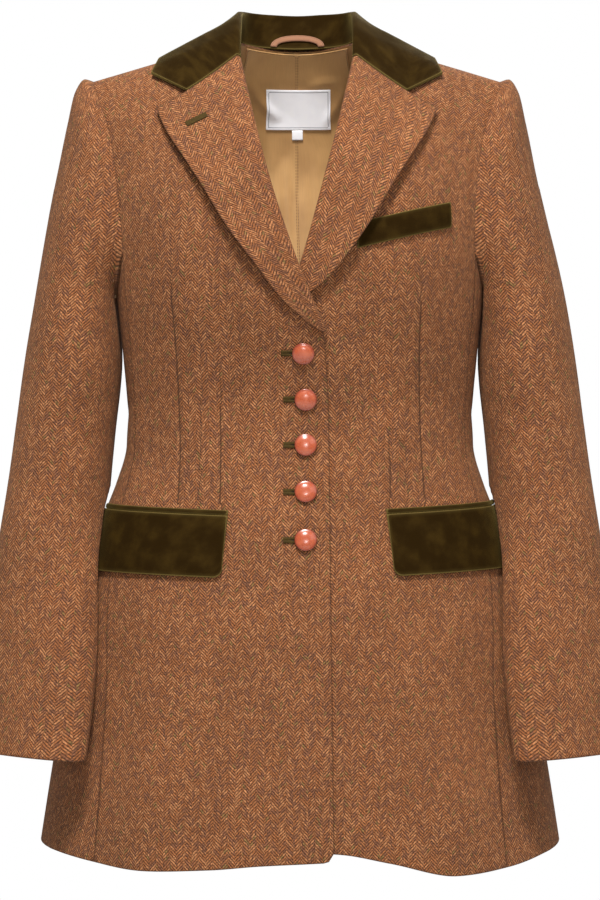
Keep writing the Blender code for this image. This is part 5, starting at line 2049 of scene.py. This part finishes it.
# ---------------------------------------------------------------- inside the neck
@dataclass
class NeckInside:
    """What shows inside the neck: the satin lining, the bare label and size tab, and the hanger loop."""

    finishes: Finishes
    dresser: Dresser
    form: CoatForm = FORM
    cloth: float = 0.0022
    lining_gap: float = 0.0018
    lining: float = 0.0010
    ribbon: float = 0.0007
    tape: float = 0.0012
    lining_low: float = -0.265
    lining_drop: float = -0.0004
    label_corners: tuple[Pair, Pair] = ((-0.0345, -0.0550), (0.0315, -0.0170))
    tab_corners: tuple[Pair, Pair] = ((-0.0080, -0.0648), (0.0030, -0.0554))
    wrinkles: tuple[Crease, ...] = creases(
        Facing.BACK,
        (-0.050, -0.010, -0.022, -0.046, 0.0045, 0.0032, 0.003),
        (-0.055, -0.030, -0.036, -0.085, 0.0050, 0.0030, -0.002),
        (0.048, -0.008, 0.026, -0.050, 0.0045, 0.0033, -0.003),
        (0.054, -0.035, 0.036, -0.095, 0.0055, 0.0030, 0.002),
        (-0.014, -0.080, -0.010, -0.200, 0.0055, 0.0018, 0.001),
        (0.012, -0.090, 0.016, -0.190, 0.0060, 0.0016, -0.002),
        (0.036, -0.012, 0.010, -0.016, 0.0035, 0.0018, 0.001),
    )

    def back_lining(self, side: Side) -> ClothSheet:
        """The lining just inside the back, from the neck down."""
        form, low, high = self.form, self.lining_low, self.lining_drop

        def place(u: float, v: float) -> Vector:
            level = mix(low, high, v)
            across = mix(-0.0003, mix(0.088, 0.050, ease(-0.10, high, level)), u)
            height = mix(low, form.back_top(across) + high, v)
            facing = normal_at(lambda a, h: form.body_point(side, a, h, False), across, height) * -side.value
            return form.body_point(side, across, height, False) - facing * (self.cloth + self.lining_gap)

        return ClothSheet(
            f"{side.word}_back_lining",
            34,
            88,
            place if side is Side.RIGHT else lambda u, v: place(1 - u, v),
            self.lining,
            relief=Relief(self.wrinkles, uneven=0.0009, size=0.035, seed=31.0, inward=True, middle=-1.0),
            along_from=lambda point: point.z,
            edge_round=0.0003,
        )

    def over(self, x: float, height: float, out: float) -> Vector:
        """A point over the lining's inner face."""
        form = self.form
        side = Side.RIGHT if x < form.centre(height) else Side.LEFT
        across = max(abs(x - form.centre(height)), 0.001)
        inward = normal_at(lambda a, h: form.body_point(side, a, h, False), across, height) * side.value
        base = form.body_point(side, across, height, False)
        base += Vector((x - form.centre(height) - side.value * across, 0, 0))
        return Bodies.laid(["right_back_lining", "left_back_lining"], base + inward * 0.004, inward, out)

    def ribbon_sheet(self, node: str, corners: tuple[Pair, Pair], columns: int, rows: int) -> ClothSheet:
        """A woven label between two corners."""
        (x_low, low), (x_high, high) = corners

        def place(u: float, v: float) -> Vector:
            out = self.ribbon + 2 * self.form.seam + 0.0002 * math.sin(math.pi * v)
            return self.over(mix(x_low, x_high, u), mix(low, high, v), out)

        return ClothSheet(node, columns, rows, place, self.ribbon, edge_round=0.0002)

    def hanger_loop(self) -> ClothSheet:
        """A flat tape bowed over the collar's stand, with both ends at the neck seam."""
        half_span, rise, width = 0.0228, 0.0100, 0.0060

        def place(u: float, v: float) -> Vector:
            angle = math.pi * (1 - u)
            reach = 1 + (v - 0.5) * width / half_span
            lift = 1 + (v - 0.5) * width / rise
            spot = Vector((half_span * reach * math.cos(angle) + self.form.centre(0) + 0.0005, 0.050, 0.0175))
            spot.z += rise * lift * math.sin(angle)
            facing = Vector((0, -1, 0.22)).normalized()
            crown = 0.0004 * math.sin(math.pi * v)
            return Bodies.laid(["collar"], spot, facing, self.tape + self.form.seam + crown)

        return ClothSheet("hanger_loop", 44, 8, place, self.tape, edge_round=0.0003)

    def dress(self) -> None:
        """Builds the pieces, from the lining out."""
        finishes = self.finishes
        for side in Side:
            self.dresser.cloth(
                self.back_lining(side), (finishes.satin,), "lining_satin", Held.HUNG, [f"{side.word}_back"]
            )
        linings = ["right_back_lining", "left_back_lining"]
        label = self.ribbon_sheet("label", self.label_corners, 40, 24)
        self.dresser.cloth(label, (finishes.label,), "label_white", Held.LAID, linings)
        tab = self.ribbon_sheet("size_tab", self.tab_corners, 10, 10)
        self.dresser.piece("size_tab", tab.build(), (finishes.tab,), "label_white")
        loop = self.hanger_loop()
        self.dresser.piece("hanger_loop", loop.build(), (finishes.tape,), "loop_brown")


# ---------------------------------------------------------------- studio
@dataclass
class Studio:
    """The pale floor, the soft light and the camera."""

    finishes: Finishes
    camera_place: tuple[float, float, float] = (0.0, -3.0, -0.3705)
    sensor: float = 24.0
    framed_height: float = 0.855
    floor_height: float = -1.50
    floor_size: float = 8.0
    world_strength: float = 0.29
    backdrop: float = 1.0

    def _floor(self) -> None:
        """A large floor below the coat."""
        mesh = bmesh.new()
        bmesh.ops.create_grid(mesh, x_segments=8, y_segments=8, size=self.floor_size / 2)
        bmesh.ops.translate(mesh, vec=(0, 0, self.floor_height), verts=mesh.verts[:])
        data = bpy.data.meshes.new("studio_floor")
        mesh.to_mesh(data)
        mesh.free()
        data.materials.append(self.finishes.floor)
        floor = bpy.data.objects.new("studio_floor", data)
        bpy.context.scene.collection.objects.link(floor)

    @staticmethod
    def _softbox(name: str, place: Spot, size: float, watts: float, warm: float) -> None:
        """A square soft light that looks at the coat's middle."""
        light = bpy.data.lights.new(name, "AREA")
        light.shape, light.size, light.energy = "SQUARE", size, watts
        light.color = (1.0, 1.0 - 0.06 * warm, 1.0 - 0.12 * warm)
        made = bpy.data.objects.new(name, light)
        made.location = place
        made.rotation_euler = (Vector((0, 0, -0.35)) - Vector(place)).to_track_quat("-Z", "Y").to_euler()
        bpy.context.scene.collection.objects.link(made)

    def _world(self) -> None:
        """Soft white light from all round, and plain white behind the coat."""
        world = bpy.data.worlds.new("studio_white")
        world.use_nodes = True
        n = Nodes(world.node_tree)
        background = world.node_tree.nodes["Background"]
        background.inputs["Color"].default_value = (1.0, 1.0, 1.0, 1.0)
        seen = n.add("ShaderNodeLightPath").outputs["Is Camera Ray"]
        strength = n.math("MULTIPLY_ADD", seen, self.backdrop - self.world_strength, self.world_strength)
        n.join(strength, background.inputs["Strength"])
        bpy.context.scene.world = world
        bpy.context.scene.view_settings.view_transform = "Standard"

    def set_up(self) -> None:
        """Builds the floor, the lights and the camera."""
        self._floor()
        self._world()
        self._softbox("key_light", (-0.18, -1.55, 1.95), 0.6, 112, 0.5)
        self._softbox("front_light", (0.15, -3.2, 0.1), 0.5, 27, 0.2)
        self._softbox("fill_light", (1.5, -1.6, 0.9), 1.4, 11, 0.2)
        self._softbox("back_light", (0.4, 2.4, 1.4), 1.6, 40, 0.0)
        lens = bpy.data.cameras.new("camera")
        lens.sensor_fit = "VERTICAL"
        lens.sensor_height = self.sensor
        lens.lens = self.sensor * abs(self.camera_place[1]) / self.framed_height
        camera = bpy.data.objects.new("camera", lens)
        camera.location = self.camera_place
        camera.rotation_euler = (math.pi / 2, 0, 0)
        bpy.context.scene.collection.objects.link(camera)
        bpy.context.scene.camera = camera


def main() -> None:
    """Builds the coat and the studio."""
    logging.basicConfig(level=logging.INFO, format="%(name)s: %(message)s")
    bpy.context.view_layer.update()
    finishes, dresser = Finishes.build(), Dresser()
    Studio(finishes).set_up()
    CoatBody(finishes, dresser).dress()
    sleeves = {side: Sleeve(side, finishes, dresser) for side in Side}
    lapels = {side: Lapel(side, finishes, dresser) for side in Side}
    for piece in (*sleeves.values(), *lapels.values()):
        piece.dress()
    Collar(lapels, finishes, dresser).dress()
    HipPocket(Side.RIGHT, 0.0652, -0.4262, -0.4210, finishes, dresser).dress()
    HipPocket(Side.LEFT, 0.0782, -0.4248, -0.4175, finishes, dresser).dress()
    BreastWelt(finishes, dresser).dress()
    Fastenings(sleeves, lapels, finishes, dresser).dress()
    NeckInside(finishes, dresser).dress()


if __name__ == "__main__":
    main()
